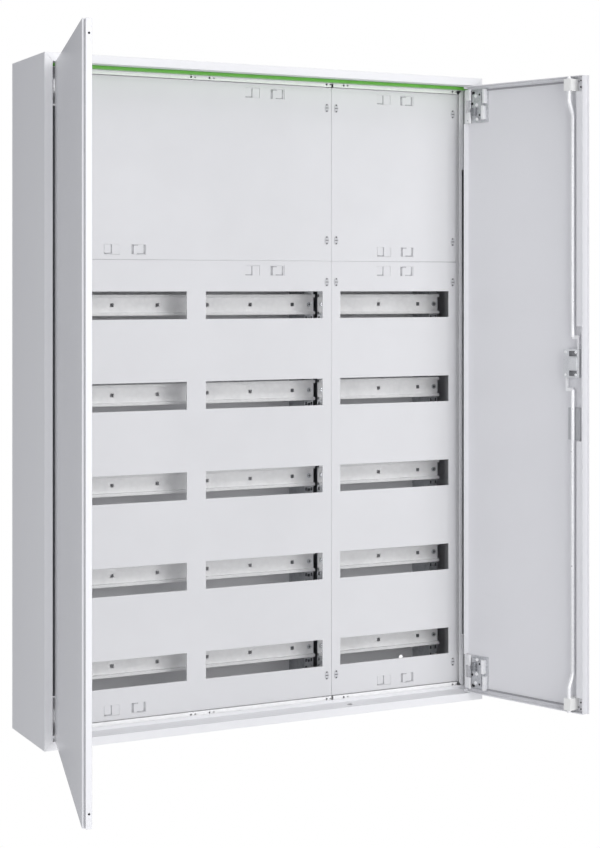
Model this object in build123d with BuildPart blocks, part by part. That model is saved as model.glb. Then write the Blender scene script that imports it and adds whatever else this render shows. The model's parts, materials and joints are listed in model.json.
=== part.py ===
"""Wall-mounted industrial switchboard cabinet with two doors, rod lock, inner frames and field covers.

Row frame: the origin is the centre of the wall-fixing pattern in the rear plane,
+X points right, +Y points at the wall, +Z points up, sizes are millimetres.
The doors are modelled open, each about its own hinge axis.
"""
import os
from math import cos, hypot, pi, radians, sin

from build123d import *

os.makedirs("parts", exist_ok=True)

# ---------------------------------------------------------------- driving dimensions
# Grid of fields and rows
FIELD_WIDTH = 250.0
WIDE_FIELDS = 2
NARROW_FIELDS = 1
ROW_HEIGHT = 150.0
WINDOW_ROWS = 5
BLANK_ROWS = 2
EDGE_MARGIN = 25.0
DEPTH = 176.0

# Folded enclosure
SHEET = 1.5
RIM_WIDTH = 13.5
RETURN_DEPTH = 40.0
END_FLANGE = 5.5
SIDE_FLANGE = 10.5
REAR_FLANGE = 14.0
SIDE_SLOT_WIDTH = 5.0
SIDE_SLOT_TOP_GAP = 160.0
SIDE_SLOT_BOTTOM_GAP = 110.0
WALL_HOLE_RADIUS = 4.25
WALL_HOLE_INSET_X = 70.0
WALL_HOLE_INSET_Z = 50.0

# Cable entry plates
ENTRY_INSET = 100.0
ENTRY_FRONT = 60.0
ENTRY_REAR = 25.0
ENTRY_LAP = 10.0
KNOCKOUT_RADIUS = 16.0
KNOCKOUT_GROOVE = 1.2
KNOCKOUT_DEPTH = 0.6
KNOCKOUT_PITCH = 60.0

# Marking strip under the head of the frame
STRIP_ROD_GAP = 1.0
STRIP_DEPTH = 14.0
STRIP_THICKNESS = 5.0

# Inner mounting frames
UPRIGHT_WIDTH = 17.0
UPRIGHT_EDGE_GAP = 4.0
UPRIGHT_END_GAP = 19.0
UPRIGHT_HOLE_PITCH = 25.0
UPRIGHT_HOLE_RADIUS = 2.6
BAR_FRONT = 43.0
BAR_REAR_LIP = 24.0
BAR_END_GAP = 2.0
BAR_CLEARANCE = 0.5
BAR_HOLE_RADIUS = 1.8
BAR_HOLES_IN_FIELD = (22.0, -11.0)
BAR_SLOT_OFFSET = 7.5

# Device rails
RAIL_FRONT = 104.0
RAIL_HEIGHT = 35.0
RAIL_DEPTH = 7.5
RAIL_LIP = 4.0
RAIL_SHEET = 1.0
RAIL_HOLE = 6.0
RAIL_HOLE_PITCH = 80.0
RAIL_SCREW_RADIUS = 2.4
RAIL_SCREW_HEAD = 4.2
RAIL_SCREW_CAP = 2.0
RAIL_SCREW_TAIL = 3.0

# Field covers
COVER_FRONT = 46.8
COVER_SHEET = 2.0
COVER_SKIRT = 8.0
COVER_GAP = 1.0
WINDOW_SIDE = 17.0
WINDOW_HEIGHT = 46.0
RECESS_WIDTH = 26.0
RECESS_HEIGHT = 17.0
RECESS_DEPTH = 1.2
RECESS_PITCH = 46.0
RECESS_IN = 16.5
FASTENER_SIDE = 9.0
FASTENER_END = 36.0
FASTENER_RADIUS = 2.5
FASTENER_HEAD = 4.0
FASTENER_CAP = 1.0
FASTENER_CLEARANCE = 0.1
FASTENER_REACH = 16.0
POST_RADIUS = 5.0

# Doors
DOOR_GAP = 1.5
DOOR_DEPTH = 13.0
HINGE_IN = 9.0
HINGE_BACK = 4.0
LEFT_OPEN = 103.6
RIGHT_OPEN = 109.0
REBATE_WIDTH = 4.0
REBATE_DEPTH = 4.5
STILE_WIDTH = 12.0
MEETING_SHIFT = -4.0

# Hinges
HINGE_INSET = 36.5
HINGE_LENGTH = 60.0
LEAF_KNUCKLE = 20.0
KNUCKLE_RADIUS = 2.2
PIN_RADIUS = 1.5
PIN_CLEARANCE = 0.05
KNUCKLE_GAP = 0.5
LEAF_GAP = 0.8
ARM_SHEET = 2.0
ARM_OFFSET = 0.5
ARM_DEPTH = 16.0
BRACKET_DEPTH = 21.0
LEAF_WIDTH = 40.0
NOTCH_CLEARANCE = 1.0

# Rod lock of the right door
ROD_OFFSET = 24.0
ROD_RADIUS = 3.5
ROD_TUB_GAP = 0.5
ROD_JOG = 11.0
ROD_JOG_RUN = 22.0
ROD_JOG_GAP = 4.0
ROD_BEND_RADIUS = 8.75
ROD_END_GAP = 1.5
ROD_CLEARANCE = 0.08
ROD_HOLE_RADIUS = 5.0
GUIDE_HEIGHT = 20.0
GUIDE_WIDTH = 14.0
GUIDE_INSET = 4.0
SPINDLE_HEIGHT = 52.0
TEETH = 12
TOOTH_MODULE = 1.5
TOOTH_BACKLASH = 0.5
TOOTH_ROOT_SHARE = 0.27
RACK_TIP_SHARE = 0.10
RACK_ADDENDUM = 1.2
PINION_TIP_SHARE = 0.08
PINION_ADDENDUM = 1.05
PINION_DEDENDUM = 1.8
TOOTH_LAP = 1.0
GEAR_THICKNESS = 4.0
RACK_WIDTH = 5.0
RACK_RUN = 20.0
RACK_LEAD = 6.0
RACK_TEETH_AHEAD = 3
RACK_CLEARANCE = 0.5
CASE_WIDTH = 32.0
CASE_HEIGHT = 48.0
CASE_BACK = 15.0
SPINDLE_RADIUS = 5.0
SPINDLE_CLEARANCE = 0.08
SPINDLE_BOSS_WALL = 3.0

# Swing handle
TRAY_WIDTH = 30.0
TRAY_THICKNESS = 3.0
TRAY_FIT = 0.1
TRAY_ABOVE = 18.0
TRAY_BELOW = 132.0
CATCH_DROP = 102.0
TUB_WIDTH = 26.0
TUB_HEIGHT = 54.0
TUB_DEPTH = 3.0
HANDLE_WIDTH = 22.0
HANDLE_THICKNESS = 10.0
HANDLE_LIFT_GAP = 1.0
HANDLE_LENGTH = 120.0
FORK_GAP = 0.3
HEAD_WIDTH = 10.0
PIVOT_RADIUS = 2.0
PIVOT_CLEARANCE = 0.05
BARREL_RADIUS = 6.0
BARREL_CLEARANCE = 0.06
KEYWAY_DEPTH = 2.0
KEYWAY_WIDTH = 2.0
KEYWAY_HEIGHT = 7.0

# ---------------------------------------------------------------- derived places
WIDTH = (WIDE_FIELDS + NARROW_FIELDS) * FIELD_WIDTH + 2 * EDGE_MARGIN
HEIGHT = (WINDOW_ROWS + BLANK_ROWS) * ROW_HEIGHT + 2 * EDGE_MARGIN
HALF_WIDTH = WIDTH / 2
HALF_HEIGHT = HEIGHT / 2
FRONT = -DEPTH
GRID_LEFT = -HALF_WIDTH + EDGE_MARGIN
GRID_RIGHT = HALF_WIDTH - EDGE_MARGIN
GRID_TOP = HALF_HEIGHT - EDGE_MARGIN
GRID_BOTTOM = -HALF_HEIGHT + EDGE_MARGIN
FIELD_JOINT = GRID_LEFT + WIDE_FIELDS * FIELD_WIDTH
ROW_JOINT = GRID_BOTTOM + WINDOW_ROWS * ROW_HEIGHT
OPENING_X = HALF_WIDTH - RIM_WIDTH
OPENING_Z = HALF_HEIGHT - RIM_WIDTH
DOOR_TOP = OPENING_Z - DOOR_GAP
RAIL_BACK = RAIL_FRONT + RAIL_DEPTH
ROW_CENTRES = [GRID_BOTTOM + (row + 0.5) * ROW_HEIGHT for row in range(WINDOW_ROWS)]
WINDOW_WIDTH = FIELD_WIDTH - 2 * WINDOW_SIDE

# Door limits, closed, measured from each hinge axis: +x right, +y towards the wall
LEFT_AXIS_X = -OPENING_X + HINGE_IN
RIGHT_AXIS_X = OPENING_X - HINGE_IN
HINGE_Y = FRONT + HINGE_BACK
DOOR_FACE = -HINGE_BACK
DOOR_INNER = DOOR_FACE + SHEET
DOOR_REAR = DOOR_FACE + DOOR_DEPTH
HINGE_EDGE = HINGE_IN - DOOR_GAP
MEETING_LEFT = FIELD_JOINT - REBATE_WIDTH + MEETING_SHIFT - LEFT_AXIS_X
LEFT_FREE = MEETING_LEFT + REBATE_WIDTH
RIGHT_LIP = FIELD_JOINT - REBATE_WIDTH + MEETING_SHIFT + DOOR_GAP - RIGHT_AXIS_X
RIGHT_FREE = RIGHT_LIP + REBATE_WIDTH
HINGE_HEIGHTS = (-OPENING_Z + HINGE_INSET, OPENING_Z - HINGE_INSET)
ROD_X = RIGHT_FREE + ROD_OFFSET
ROD_Y = DOOR_INNER + TUB_DEPTH + ROD_TUB_GAP + ROD_RADIUS
ROD_END_Y = ROD_Y + ROD_JOG
STRIP_FRONT = HINGE_BACK + ROD_END_Y + ROD_RADIUS + STRIP_ROD_GAP
PITCH_RADIUS = TEETH * TOOTH_MODULE / 2
CASE_HALF = CASE_HEIGHT / 2
ROD_TRAVEL = PITCH_RADIUS * pi / 2
GUIDE_HEAD = DOOR_TOP - SHEET - GUIDE_INSET
GUIDE_FOOT = GUIDE_HEAD - GUIDE_HEIGHT

CABINET = Location((0, FRONT, 0))
LEFT_DOOR = Location((LEFT_AXIS_X, HINGE_Y, 0), (0, 0, -LEFT_OPEN))
RIGHT_DOOR = Location((RIGHT_AXIS_X, HINGE_Y, 0), (0, 0, RIGHT_OPEN))
LEFT_HINGE = Location((LEFT_AXIS_X, HINGE_Y, 0))
RIGHT_HINGE = Location((RIGHT_AXIS_X, HINGE_Y, 0))


# ---------------------------------------------------------------- shared shapes
def slab(frame, x, y, z, mode=Mode.ADD):
    """A box between pairs of limits, in the coordinates of a frame."""
    centre = Location((sum(x) / 2, sum(y) / 2, sum(z) / 2))
    with Locations(frame * centre):
        Box(abs(x[1] - x[0]), abs(y[1] - y[0]), abs(z[1] - z[0]), mode=mode)


def rod_x(frame, x, y, z, radius, mode=Mode.ADD):
    """A cylinder along X between two limits."""
    with Locations(frame * Location((sum(x) / 2, y, z))):
        Cylinder(radius, abs(x[1] - x[0]), rotation=(0, 90, 0), mode=mode)


def rod_y(frame, x, y, z, radius, mode=Mode.ADD):
    """A cylinder along Y between two limits."""
    with Locations(frame * Location((x, sum(y) / 2, z))):
        Cylinder(radius, abs(y[1] - y[0]), rotation=(90, 0, 0), mode=mode)


def rod_z(frame, x, y, z, radius, mode=Mode.ADD):
    """A cylinder along Z between two limits."""
    with Locations(frame * Location((x, y, sum(z) / 2))):
        Cylinder(radius, abs(z[1] - z[0]), mode=mode)


def around(value, half):
    """The pair of limits centred on a value."""
    return (value - half, value + half)


# ---------------------------------------------------------------- folded enclosure
def side_wall(side):
    """Wall, rim, return and flange of one side, mitred into the head and the sill."""
    outer = side * HALF_WIDTH
    inner = side * OPENING_X
    full = (-HALF_HEIGHT, HALF_HEIGHT)
    wall = (outer, outer - side * SHEET)
    slab(CABINET, wall, (0, DEPTH - SHEET), full)
    slab(CABINET, (outer, inner), (0, SHEET), full)
    slab(CABINET, (inner, inner + side * SHEET), (0, RETURN_DEPTH), full)
    flange = (inner + side * SHEET, inner - side * SIDE_FLANGE)
    slab(CABINET, flange, (RETURN_DEPTH, RETURN_DEPTH + SHEET), full)
    slab(CABINET, (outer, outer - side * REAR_FLANGE), (DEPTH - 2 * SHEET, DEPTH - SHEET), full)
    slot = (inner, inner - side * SIDE_SLOT_WIDTH)
    slot_z = (-HALF_HEIGHT + SIDE_SLOT_BOTTOM_GAP, HALF_HEIGHT - SIDE_SLOT_TOP_GAP)
    slab(CABINET, slot, (RETURN_DEPTH - SHEET, RETURN_DEPTH + 2 * SHEET), slot_z, Mode.SUBTRACT)
    mitre = RIM_WIDTH + SIDE_FLANGE + SHEET
    with BuildSketch(Plane.XZ) as wedge:
        with BuildLine():
            Polyline(
                (outer, -HALF_HEIGHT),
                (outer, HALF_HEIGHT),
                (outer - side * mitre, HALF_HEIGHT - mitre),
                (outer - side * mitre, -HALF_HEIGHT + mitre),
                close=True,
            )
        make_face()
    extrude(wedge.sketch, amount=DEPTH, mode=Mode.INTERSECT)


def end_wall(end):
    """Wall, rim, return and flange of the head or the sill, with its entry and rod hole."""
    outer = end * HALF_HEIGHT
    inner = end * OPENING_Z
    full = (-HALF_WIDTH, HALF_WIDTH)
    slab(CABINET, full, (0, DEPTH - SHEET), (outer, outer - end * SHEET))
    slab(CABINET, full, (0, SHEET), (outer, inner))
    slab(CABINET, full, (0, RETURN_DEPTH), (inner, inner + end * SHEET))
    flange = (inner + end * SHEET, inner - end * END_FLANGE)
    slab(CABINET, full, (RETURN_DEPTH, RETURN_DEPTH + SHEET), flange)
    slab(CABINET, full, (DEPTH - 2 * SHEET, DEPTH - SHEET), (outer, outer - end * REAR_FLANGE))
    entry_x = (-HALF_WIDTH + ENTRY_INSET, HALF_WIDTH - ENTRY_INSET)
    entry_y = (ENTRY_FRONT, DEPTH - ENTRY_REAR)
    slab(CABINET, entry_x, entry_y, (outer, outer - end * SHEET), Mode.SUBTRACT)
    hole_z = (inner - end * SHEET, inner + end * 2 * SHEET)
    hole_x = RIGHT_AXIS_X + ROD_X
    rod_z(CABINET, hole_x, HINGE_BACK + ROD_END_Y, hole_z, ROD_HOLE_RADIUS, Mode.SUBTRACT)
    mitre = RIM_WIDTH + SIDE_FLANGE + SHEET
    with BuildSketch(Plane.XZ) as wedge:
        with BuildLine():
            Polyline(
                (-HALF_WIDTH, outer),
                (HALF_WIDTH, outer),
                (HALF_WIDTH - mitre, outer - end * mitre),
                (-HALF_WIDTH + mitre, outer - end * mitre),
                close=True,
            )
        make_face()
    extrude(wedge.sketch, amount=DEPTH, mode=Mode.INTERSECT)


with BuildPart() as left_side_panel:
    side_wall(-1)
left_side_panel.part.label = "left_side_panel"
export_step(left_side_panel.part, "parts/left_side_panel.step")

with BuildPart() as right_side_panel:
    side_wall(1)
right_side_panel.part.label = "right_side_panel"
export_step(right_side_panel.part, "parts/right_side_panel.step")

with BuildPart() as top_panel:
    end_wall(1)
top_panel.part.label = "top_panel"
export_step(top_panel.part, "parts/top_panel.step")

with BuildPart() as bottom_panel:
    end_wall(-1)
bottom_panel.part.label = "bottom_panel"
export_step(bottom_panel.part, "parts/bottom_panel.step")

# The rear wall closes the four folded walls and carries the wall-fixing holes.
with BuildPart() as rear_wall:
    slab(
        CABINET,
        (-HALF_WIDTH, HALF_WIDTH),
        (DEPTH - SHEET, DEPTH),
        (-HALF_HEIGHT, HALF_HEIGHT),
    )
    for hole_x in (-HALF_WIDTH + WALL_HOLE_INSET_X, HALF_WIDTH - WALL_HOLE_INSET_X):
        for hole_z in (-HALF_HEIGHT + WALL_HOLE_INSET_Z, HALF_HEIGHT - WALL_HOLE_INSET_Z):
            rod_y(
                CABINET,
                hole_x,
                (DEPTH - 2 * SHEET, DEPTH + SHEET),
                hole_z,
                WALL_HOLE_RADIUS,
                Mode.SUBTRACT,
            )
rear_wall.part.label = "rear_wall"
export_step(rear_wall.part, "parts/rear_wall.step")


def entry_plate(end):
    """A flat plate behind an entry, with a row of grooved knock-outs."""
    outer = end * (HALF_HEIGHT - SHEET)
    inner = outer - end * SHEET
    plate_x = HALF_WIDTH - ENTRY_INSET + ENTRY_LAP
    plate_y = (ENTRY_FRONT - ENTRY_LAP, DEPTH - ENTRY_REAR + ENTRY_LAP)
    slab(CABINET, (-plate_x, plate_x), plate_y, (outer, inner))
    count = int((2 * (HALF_WIDTH - ENTRY_INSET) - 2 * KNOCKOUT_RADIUS) // KNOCKOUT_PITCH) + 1
    middle_y = (ENTRY_FRONT + DEPTH - ENTRY_REAR) / 2
    groove_z = (outer, outer - end * KNOCKOUT_DEPTH)
    for index in range(count):
        x = (index - (count - 1) / 2) * KNOCKOUT_PITCH
        with BuildSketch(Plane.XY.offset(min(groove_z))) as ring:
            with Locations((x, FRONT + middle_y)):
                Circle(KNOCKOUT_RADIUS + KNOCKOUT_GROOVE)
                Circle(KNOCKOUT_RADIUS, mode=Mode.SUBTRACT)
        extrude(ring.sketch, amount=KNOCKOUT_DEPTH, mode=Mode.SUBTRACT)


with BuildPart() as top_cable_plate:
    entry_plate(1)
top_cable_plate.part.label = "top_cable_plate"
export_step(top_cable_plate.part, "parts/top_cable_plate.step")

with BuildPart() as bottom_cable_plate:
    entry_plate(-1)
bottom_cable_plate.part.label = "bottom_cable_plate"
export_step(bottom_cable_plate.part, "parts/bottom_cable_plate.step")

# The coloured marking strip hangs under the return of the head.
with BuildPart() as marking_strip:
    strip_z = (OPENING_Z - STRIP_THICKNESS, OPENING_Z)
    slab(CABINET, (-OPENING_X, OPENING_X), (STRIP_FRONT, STRIP_FRONT + STRIP_DEPTH), strip_z)
marking_strip.part.label = "marking_strip"
export_step(marking_strip.part, "parts/marking_strip.step")

# ---------------------------------------------------------------- inner mounting frames
UPRIGHT_LEFT_EDGES = {
    "left_upright": GRID_LEFT + UPRIGHT_EDGE_GAP,
    "middle_left_upright": FIELD_JOINT - UPRIGHT_EDGE_GAP - UPRIGHT_WIDTH,
    "middle_right_upright": FIELD_JOINT + UPRIGHT_EDGE_GAP,
    "right_upright": GRID_RIGHT - UPRIGHT_EDGE_GAP - UPRIGHT_WIDTH,
}
UPRIGHT_Z = (-OPENING_Z + UPRIGHT_END_GAP, OPENING_Z - UPRIGHT_END_GAP)
UPRIGHT_Y = (RAIL_BACK, DEPTH - SHEET)


def rail_screw_x(left_edge):
    """The line of rail screws up the middle of an upright."""
    return left_edge + UPRIGHT_WIDTH / 2


for name, left_edge in UPRIGHT_LEFT_EDGES.items():
    edges = (left_edge, left_edge + UPRIGHT_WIDTH)
    with BuildPart() as upright:
        slab(CABINET, edges, (UPRIGHT_Y[0], UPRIGHT_Y[0] + SHEET), UPRIGHT_Z)
        slab(CABINET, (edges[0], edges[0] + SHEET), UPRIGHT_Y, UPRIGHT_Z)
        slab(CABINET, edges, (UPRIGHT_Y[1] - SHEET, UPRIGHT_Y[1]), UPRIGHT_Z)
        hole_plane = Plane.XZ.offset(DEPTH - UPRIGHT_Y[0] + SHEET)
        with BuildSketch(hole_plane) as holes:
            for row in ROW_CENTRES:
                for side in (-1, 1):
                    with Locations((rail_screw_x(left_edge), row + side * UPRIGHT_HOLE_PITCH)):
                        Circle(UPRIGHT_HOLE_RADIUS)
            with Locations(*[(rail_screw_x(left_edge), row) for row in ROW_CENTRES]):
                Circle(RAIL_SCREW_RADIUS)
        extrude(holes.sketch, amount=-3 * SHEET, mode=Mode.SUBTRACT)
    upright.part.label = name
    export_step(upright.part, f"parts/{name}.step")


def crossbars(x_limits, first_field, last_field):
    """The head and sill bars of one frame, with paired holes in their front flange."""
    for end in (-1, 1):
        base = end * (OPENING_Z - SHEET - BAR_CLEARANCE)
        web = (base, base - end * SHEET)
        back = (BAR_FRONT, RAIL_BACK)
        slab(CABINET, x_limits, back, web)
        front_edge = end * GRID_TOP
        slab(CABINET, x_limits, (BAR_FRONT, BAR_FRONT + SHEET), (base, front_edge))
        lip = (base, base - end * BAR_REAR_LIP)
        slab(CABINET, x_limits, (RAIL_BACK - SHEET, RAIL_BACK), lip)
        hole_z = (base + front_edge - end * SHEET) / 2
        for field in range(first_field, last_field):
            for edge, offset in zip((0, 1), BAR_HOLES_IN_FIELD):
                x = GRID_LEFT + (field + edge) * FIELD_WIDTH + offset
                bore = (BAR_FRONT - SHEET, BAR_FRONT + 2 * SHEET)
                rod_y(CABINET, x, bore, hole_z, BAR_HOLE_RADIUS, Mode.SUBTRACT)
                slot_x = around(x + BAR_SLOT_OFFSET, BAR_HOLE_RADIUS)
                slot_z = around(hole_z, BAR_HOLE_RADIUS / 2)
                slab(CABINET, slot_x, bore, slot_z, Mode.SUBTRACT)


with BuildPart() as wide_frame_crossbars:
    crossbars((GRID_LEFT + BAR_END_GAP, FIELD_JOINT - BAR_END_GAP), 0, WIDE_FIELDS)
wide_frame_crossbars.part.label = "wide_frame_crossbars"
export_step(wide_frame_crossbars.part, "parts/wide_frame_crossbars.step")

with BuildPart() as narrow_frame_crossbars:
    crossbars(
        (FIELD_JOINT + BAR_END_GAP, GRID_RIGHT - BAR_END_GAP),
        WIDE_FIELDS,
        WIDE_FIELDS + NARROW_FIELDS,
    )
narrow_frame_crossbars.part.label = "narrow_frame_crossbars"
export_step(narrow_frame_crossbars.part, "parts/narrow_frame_crossbars.step")


# ---------------------------------------------------------------- device rails
def device_rail(x_limits, screw_xs, fields, row):
    """A top-hat rail with square holes in each field and a screw hole at each end."""
    half = RAIL_HEIGHT / 2
    hat = half - RAIL_LIP
    for side in (-1, 1):
        lip_z = (row + side * hat, row + side * half)
        slab(CABINET, x_limits, (RAIL_FRONT, RAIL_FRONT + RAIL_SHEET), lip_z)
        wall_z = (row + side * (hat - RAIL_SHEET), row + side * hat)
        slab(CABINET, x_limits, (RAIL_FRONT, RAIL_BACK), wall_z)
    slab(CABINET, x_limits, (RAIL_BACK - RAIL_SHEET, RAIL_BACK), around(row, hat))
    bore = (RAIL_BACK - 2 * RAIL_SHEET, RAIL_BACK + RAIL_SHEET)
    for field in fields:
        centre = GRID_LEFT + (field + 0.5) * FIELD_WIDTH
        for step in (-1, 0, 1):
            hole_x = around(centre + step * RAIL_HOLE_PITCH, RAIL_HOLE / 2)
            slab(CABINET, hole_x, bore, around(row, RAIL_HOLE / 2), Mode.SUBTRACT)
    for screw_x in screw_xs:
        rod_y(CABINET, screw_x, bore, row, RAIL_SCREW_RADIUS, Mode.SUBTRACT)


RAIL_SETS = {
    "wide": ("left_upright", "middle_left_upright", range(WIDE_FIELDS)),
    "narrow": (
        "middle_right_upright",
        "right_upright",
        range(WIDE_FIELDS, WIDE_FIELDS + NARROW_FIELDS),
    ),
}
for size, (first, last, fields) in RAIL_SETS.items():
    start = UPRIGHT_LEFT_EDGES[first]
    stop = UPRIGHT_LEFT_EDGES[last] + UPRIGHT_WIDTH
    screw_xs = [rail_screw_x(UPRIGHT_LEFT_EDGES[key]) for key in (first, last)]
    for number, row in enumerate(ROW_CENTRES, start=1):
        name = f"{size}_rail_{number}"
        with BuildPart() as rail:
            device_rail((start, stop), screw_xs, fields, row)
        rail.part.label = name
        export_step(rail.part, f"parts/{name}.step")

# One screw holds each rail end to its upright.
with BuildPart() as rail_screws:
    for left_edge in UPRIGHT_LEFT_EDGES.values():
        for row in ROW_CENTRES:
            x = rail_screw_x(left_edge)
            seat = RAIL_BACK - RAIL_SHEET
            tail = RAIL_BACK + SHEET + RAIL_SCREW_TAIL
            rod_y(CABINET, x, (seat - RAIL_SCREW_CAP, seat), row, RAIL_SCREW_HEAD)
            rod_y(CABINET, x, (seat, tail), row, RAIL_SCREW_RADIUS)
rail_screws.part.label = "rail_screws"
export_step(rail_screws.part, "parts/rail_screws.step")

# ---------------------------------------------------------------- field covers
COVERS = {
    "upper_wide_cover": ((GRID_LEFT, FIELD_JOINT), (ROW_JOINT, GRID_TOP), WIDE_FIELDS, 0),
    "upper_narrow_cover": ((FIELD_JOINT, GRID_RIGHT), (ROW_JOINT, GRID_TOP), NARROW_FIELDS, 0),
    "lower_wide_cover": (
        (GRID_LEFT, FIELD_JOINT),
        (GRID_BOTTOM, ROW_JOINT),
        WIDE_FIELDS,
        WINDOW_ROWS,
    ),
    "lower_narrow_cover": (
        (FIELD_JOINT, GRID_RIGHT),
        (GRID_BOTTOM, ROW_JOINT),
        NARROW_FIELDS,
        WINDOW_ROWS,
    ),
}


def cover_fastener_places(x_limits, z_limits):
    """The four fastener centres of a cover."""
    xs = (x_limits[0] + FASTENER_SIDE, x_limits[1] - FASTENER_SIDE)
    zs = (z_limits[0] + FASTENER_END, z_limits[1] - FASTENER_END)
    return [(x, z) for x in xs for z in zs]


def cover_shell(x_limits, z_limits, fields, windows):
    """A shallow pan with device windows, grip recesses and fastener holes."""
    gap = COVER_GAP / 2
    x = (x_limits[0] + gap, x_limits[1] - gap)
    z = (z_limits[0] + gap, z_limits[1] - gap)
    face = (COVER_FRONT, COVER_FRONT + COVER_SHEET)
    slab(CABINET, x, (COVER_FRONT, COVER_FRONT + COVER_SKIRT), z)
    inner_x = (x[0] + COVER_SHEET, x[1] - COVER_SHEET)
    inner_z = (z[0] + COVER_SHEET, z[1] - COVER_SHEET)
    slab(CABINET, inner_x, (face[1], face[1] + COVER_SKIRT), inner_z, Mode.SUBTRACT)
    through = (face[0] - COVER_SHEET, face[1] + COVER_SHEET)
    for field in range(fields):
        centre = x_limits[0] + (field + 0.5) * FIELD_WIDTH
        for row in range(windows):
            row_z = z_limits[0] + (row + 0.5) * ROW_HEIGHT
            window = around(centre, WINDOW_WIDTH / 2)
            slab(CABINET, window, through, around(row_z, WINDOW_HEIGHT / 2), Mode.SUBTRACT)
    grip = (face[0], face[0] + RECESS_DEPTH)
    first_field = x_limits[0] + FIELD_WIDTH / 2
    last_field = x_limits[1] - FIELD_WIDTH / 2
    for end_z, inward, field_x in ((z_limits[0], 1, first_field), (z_limits[1], -1, last_field)):
        for step in (-0.5, 0.5):
            recess_x = around(field_x + step * RECESS_PITCH, RECESS_WIDTH / 2)
            recess_z = around(end_z + inward * RECESS_IN, RECESS_HEIGHT / 2)
            slab(CABINET, recess_x, grip, recess_z, Mode.SUBTRACT)
    for x_hole, z_hole in cover_fastener_places(x_limits, z_limits):
        bore = FASTENER_RADIUS + FASTENER_CLEARANCE
        rod_y(CABINET, x_hole, through, z_hole, bore, Mode.SUBTRACT)


for name, (x_limits, z_limits, fields, windows) in COVERS.items():
    with BuildPart() as cover:
        cover_shell(x_limits, z_limits, fields, windows)
    cover.part.label = name
    export_step(cover.part, f"parts/{name}.step")
    fastener_name = name.replace("cover", "fasteners")
    with BuildPart() as fasteners:
        for x, z in cover_fastener_places(x_limits, z_limits):
            cap = (COVER_FRONT - FASTENER_CAP, COVER_FRONT)
            rod_y(CABINET, x, cap, z, FASTENER_HEAD)
            rod_y(CABINET, x, (COVER_FRONT, COVER_FRONT + FASTENER_REACH), z, FASTENER_RADIUS)
    fasteners.part.label = fastener_name
    export_step(fasteners.part, f"parts/{fastener_name}.step")

# Posts on the uprights carry the covers and take their fasteners.
with BuildPart() as cover_posts:
    for x_limits, z_limits, _, _ in COVERS.values():
        for x, z in cover_fastener_places(x_limits, z_limits):
            post = (COVER_FRONT + COVER_SHEET, RAIL_BACK)
            rod_y(CABINET, x, post, z, POST_RADIUS)
            socket = (COVER_FRONT, COVER_FRONT + FASTENER_REACH)
            rod_y(CABINET, x, socket, z, FASTENER_RADIUS, Mode.SUBTRACT)
cover_posts.part.label = "cover_posts"
export_step(cover_posts.part, "parts/cover_posts.step")


# ---------------------------------------------------------------- door shells
def hinge_notches(frame, edge, inward):
    """Cut the hinge-side fold where the frame arms reach the axis."""
    for height in HINGE_HEIGHTS:
        notch_x = (edge - inward * SHEET, edge + inward * (SHEET + NOTCH_CLEARANCE))
        notch_z = around(height, HINGE_LENGTH / 2 + NOTCH_CLEARANCE)
        slab(frame, notch_x, (DOOR_INNER, DOOR_REAR + SHEET), notch_z, Mode.SUBTRACT)


DOOR_Z = (-DOOR_TOP, DOOR_TOP)
INNER_Z = (-DOOR_TOP + SHEET, DOOR_TOP - SHEET)

# Left door: skin, four folds and a stepped free edge that the right door laps over.
with BuildPart() as left_door_panel:
    hinge_edge = -HINGE_EDGE
    slab(LEFT_DOOR, (hinge_edge, MEETING_LEFT), (DOOR_FACE, DOOR_REAR), DOOR_Z)
    step_face = DOOR_FACE + REBATE_DEPTH
    slab(LEFT_DOOR, (MEETING_LEFT, LEFT_FREE), (step_face, DOOR_REAR), DOOR_Z)
    hollow = (hinge_edge + SHEET, MEETING_LEFT - SHEET)
    slab(LEFT_DOOR, hollow, (DOOR_INNER, DOOR_REAR), INNER_Z, Mode.SUBTRACT)
    step_hollow = (MEETING_LEFT - SHEET, LEFT_FREE - SHEET)
    step_back = (step_face + SHEET, DOOR_REAR)
    slab(LEFT_DOOR, step_hollow, step_back, INNER_Z, Mode.SUBTRACT)
    hinge_notches(LEFT_DOOR, hinge_edge, 1)
left_door_panel.part.label = "left_door_panel"
export_step(left_door_panel.part, "parts/left_door_panel.step")

# The stile is a folded channel behind the free edge.
with BuildPart() as left_door_stile:
    stile = (LEFT_FREE - SHEET - STILE_WIDTH, LEFT_FREE - SHEET)
    slab(LEFT_DOOR, stile, (DOOR_REAR - SHEET, DOOR_REAR), INNER_Z)
    web = (MEETING_LEFT - 3 * SHEET, MEETING_LEFT - 2 * SHEET)
    slab(LEFT_DOOR, web, (DOOR_INNER, DOOR_REAR), INNER_Z)
left_door_stile.part.label = "left_door_stile"
export_step(left_door_stile.part, "parts/left_door_stile.step")

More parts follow.
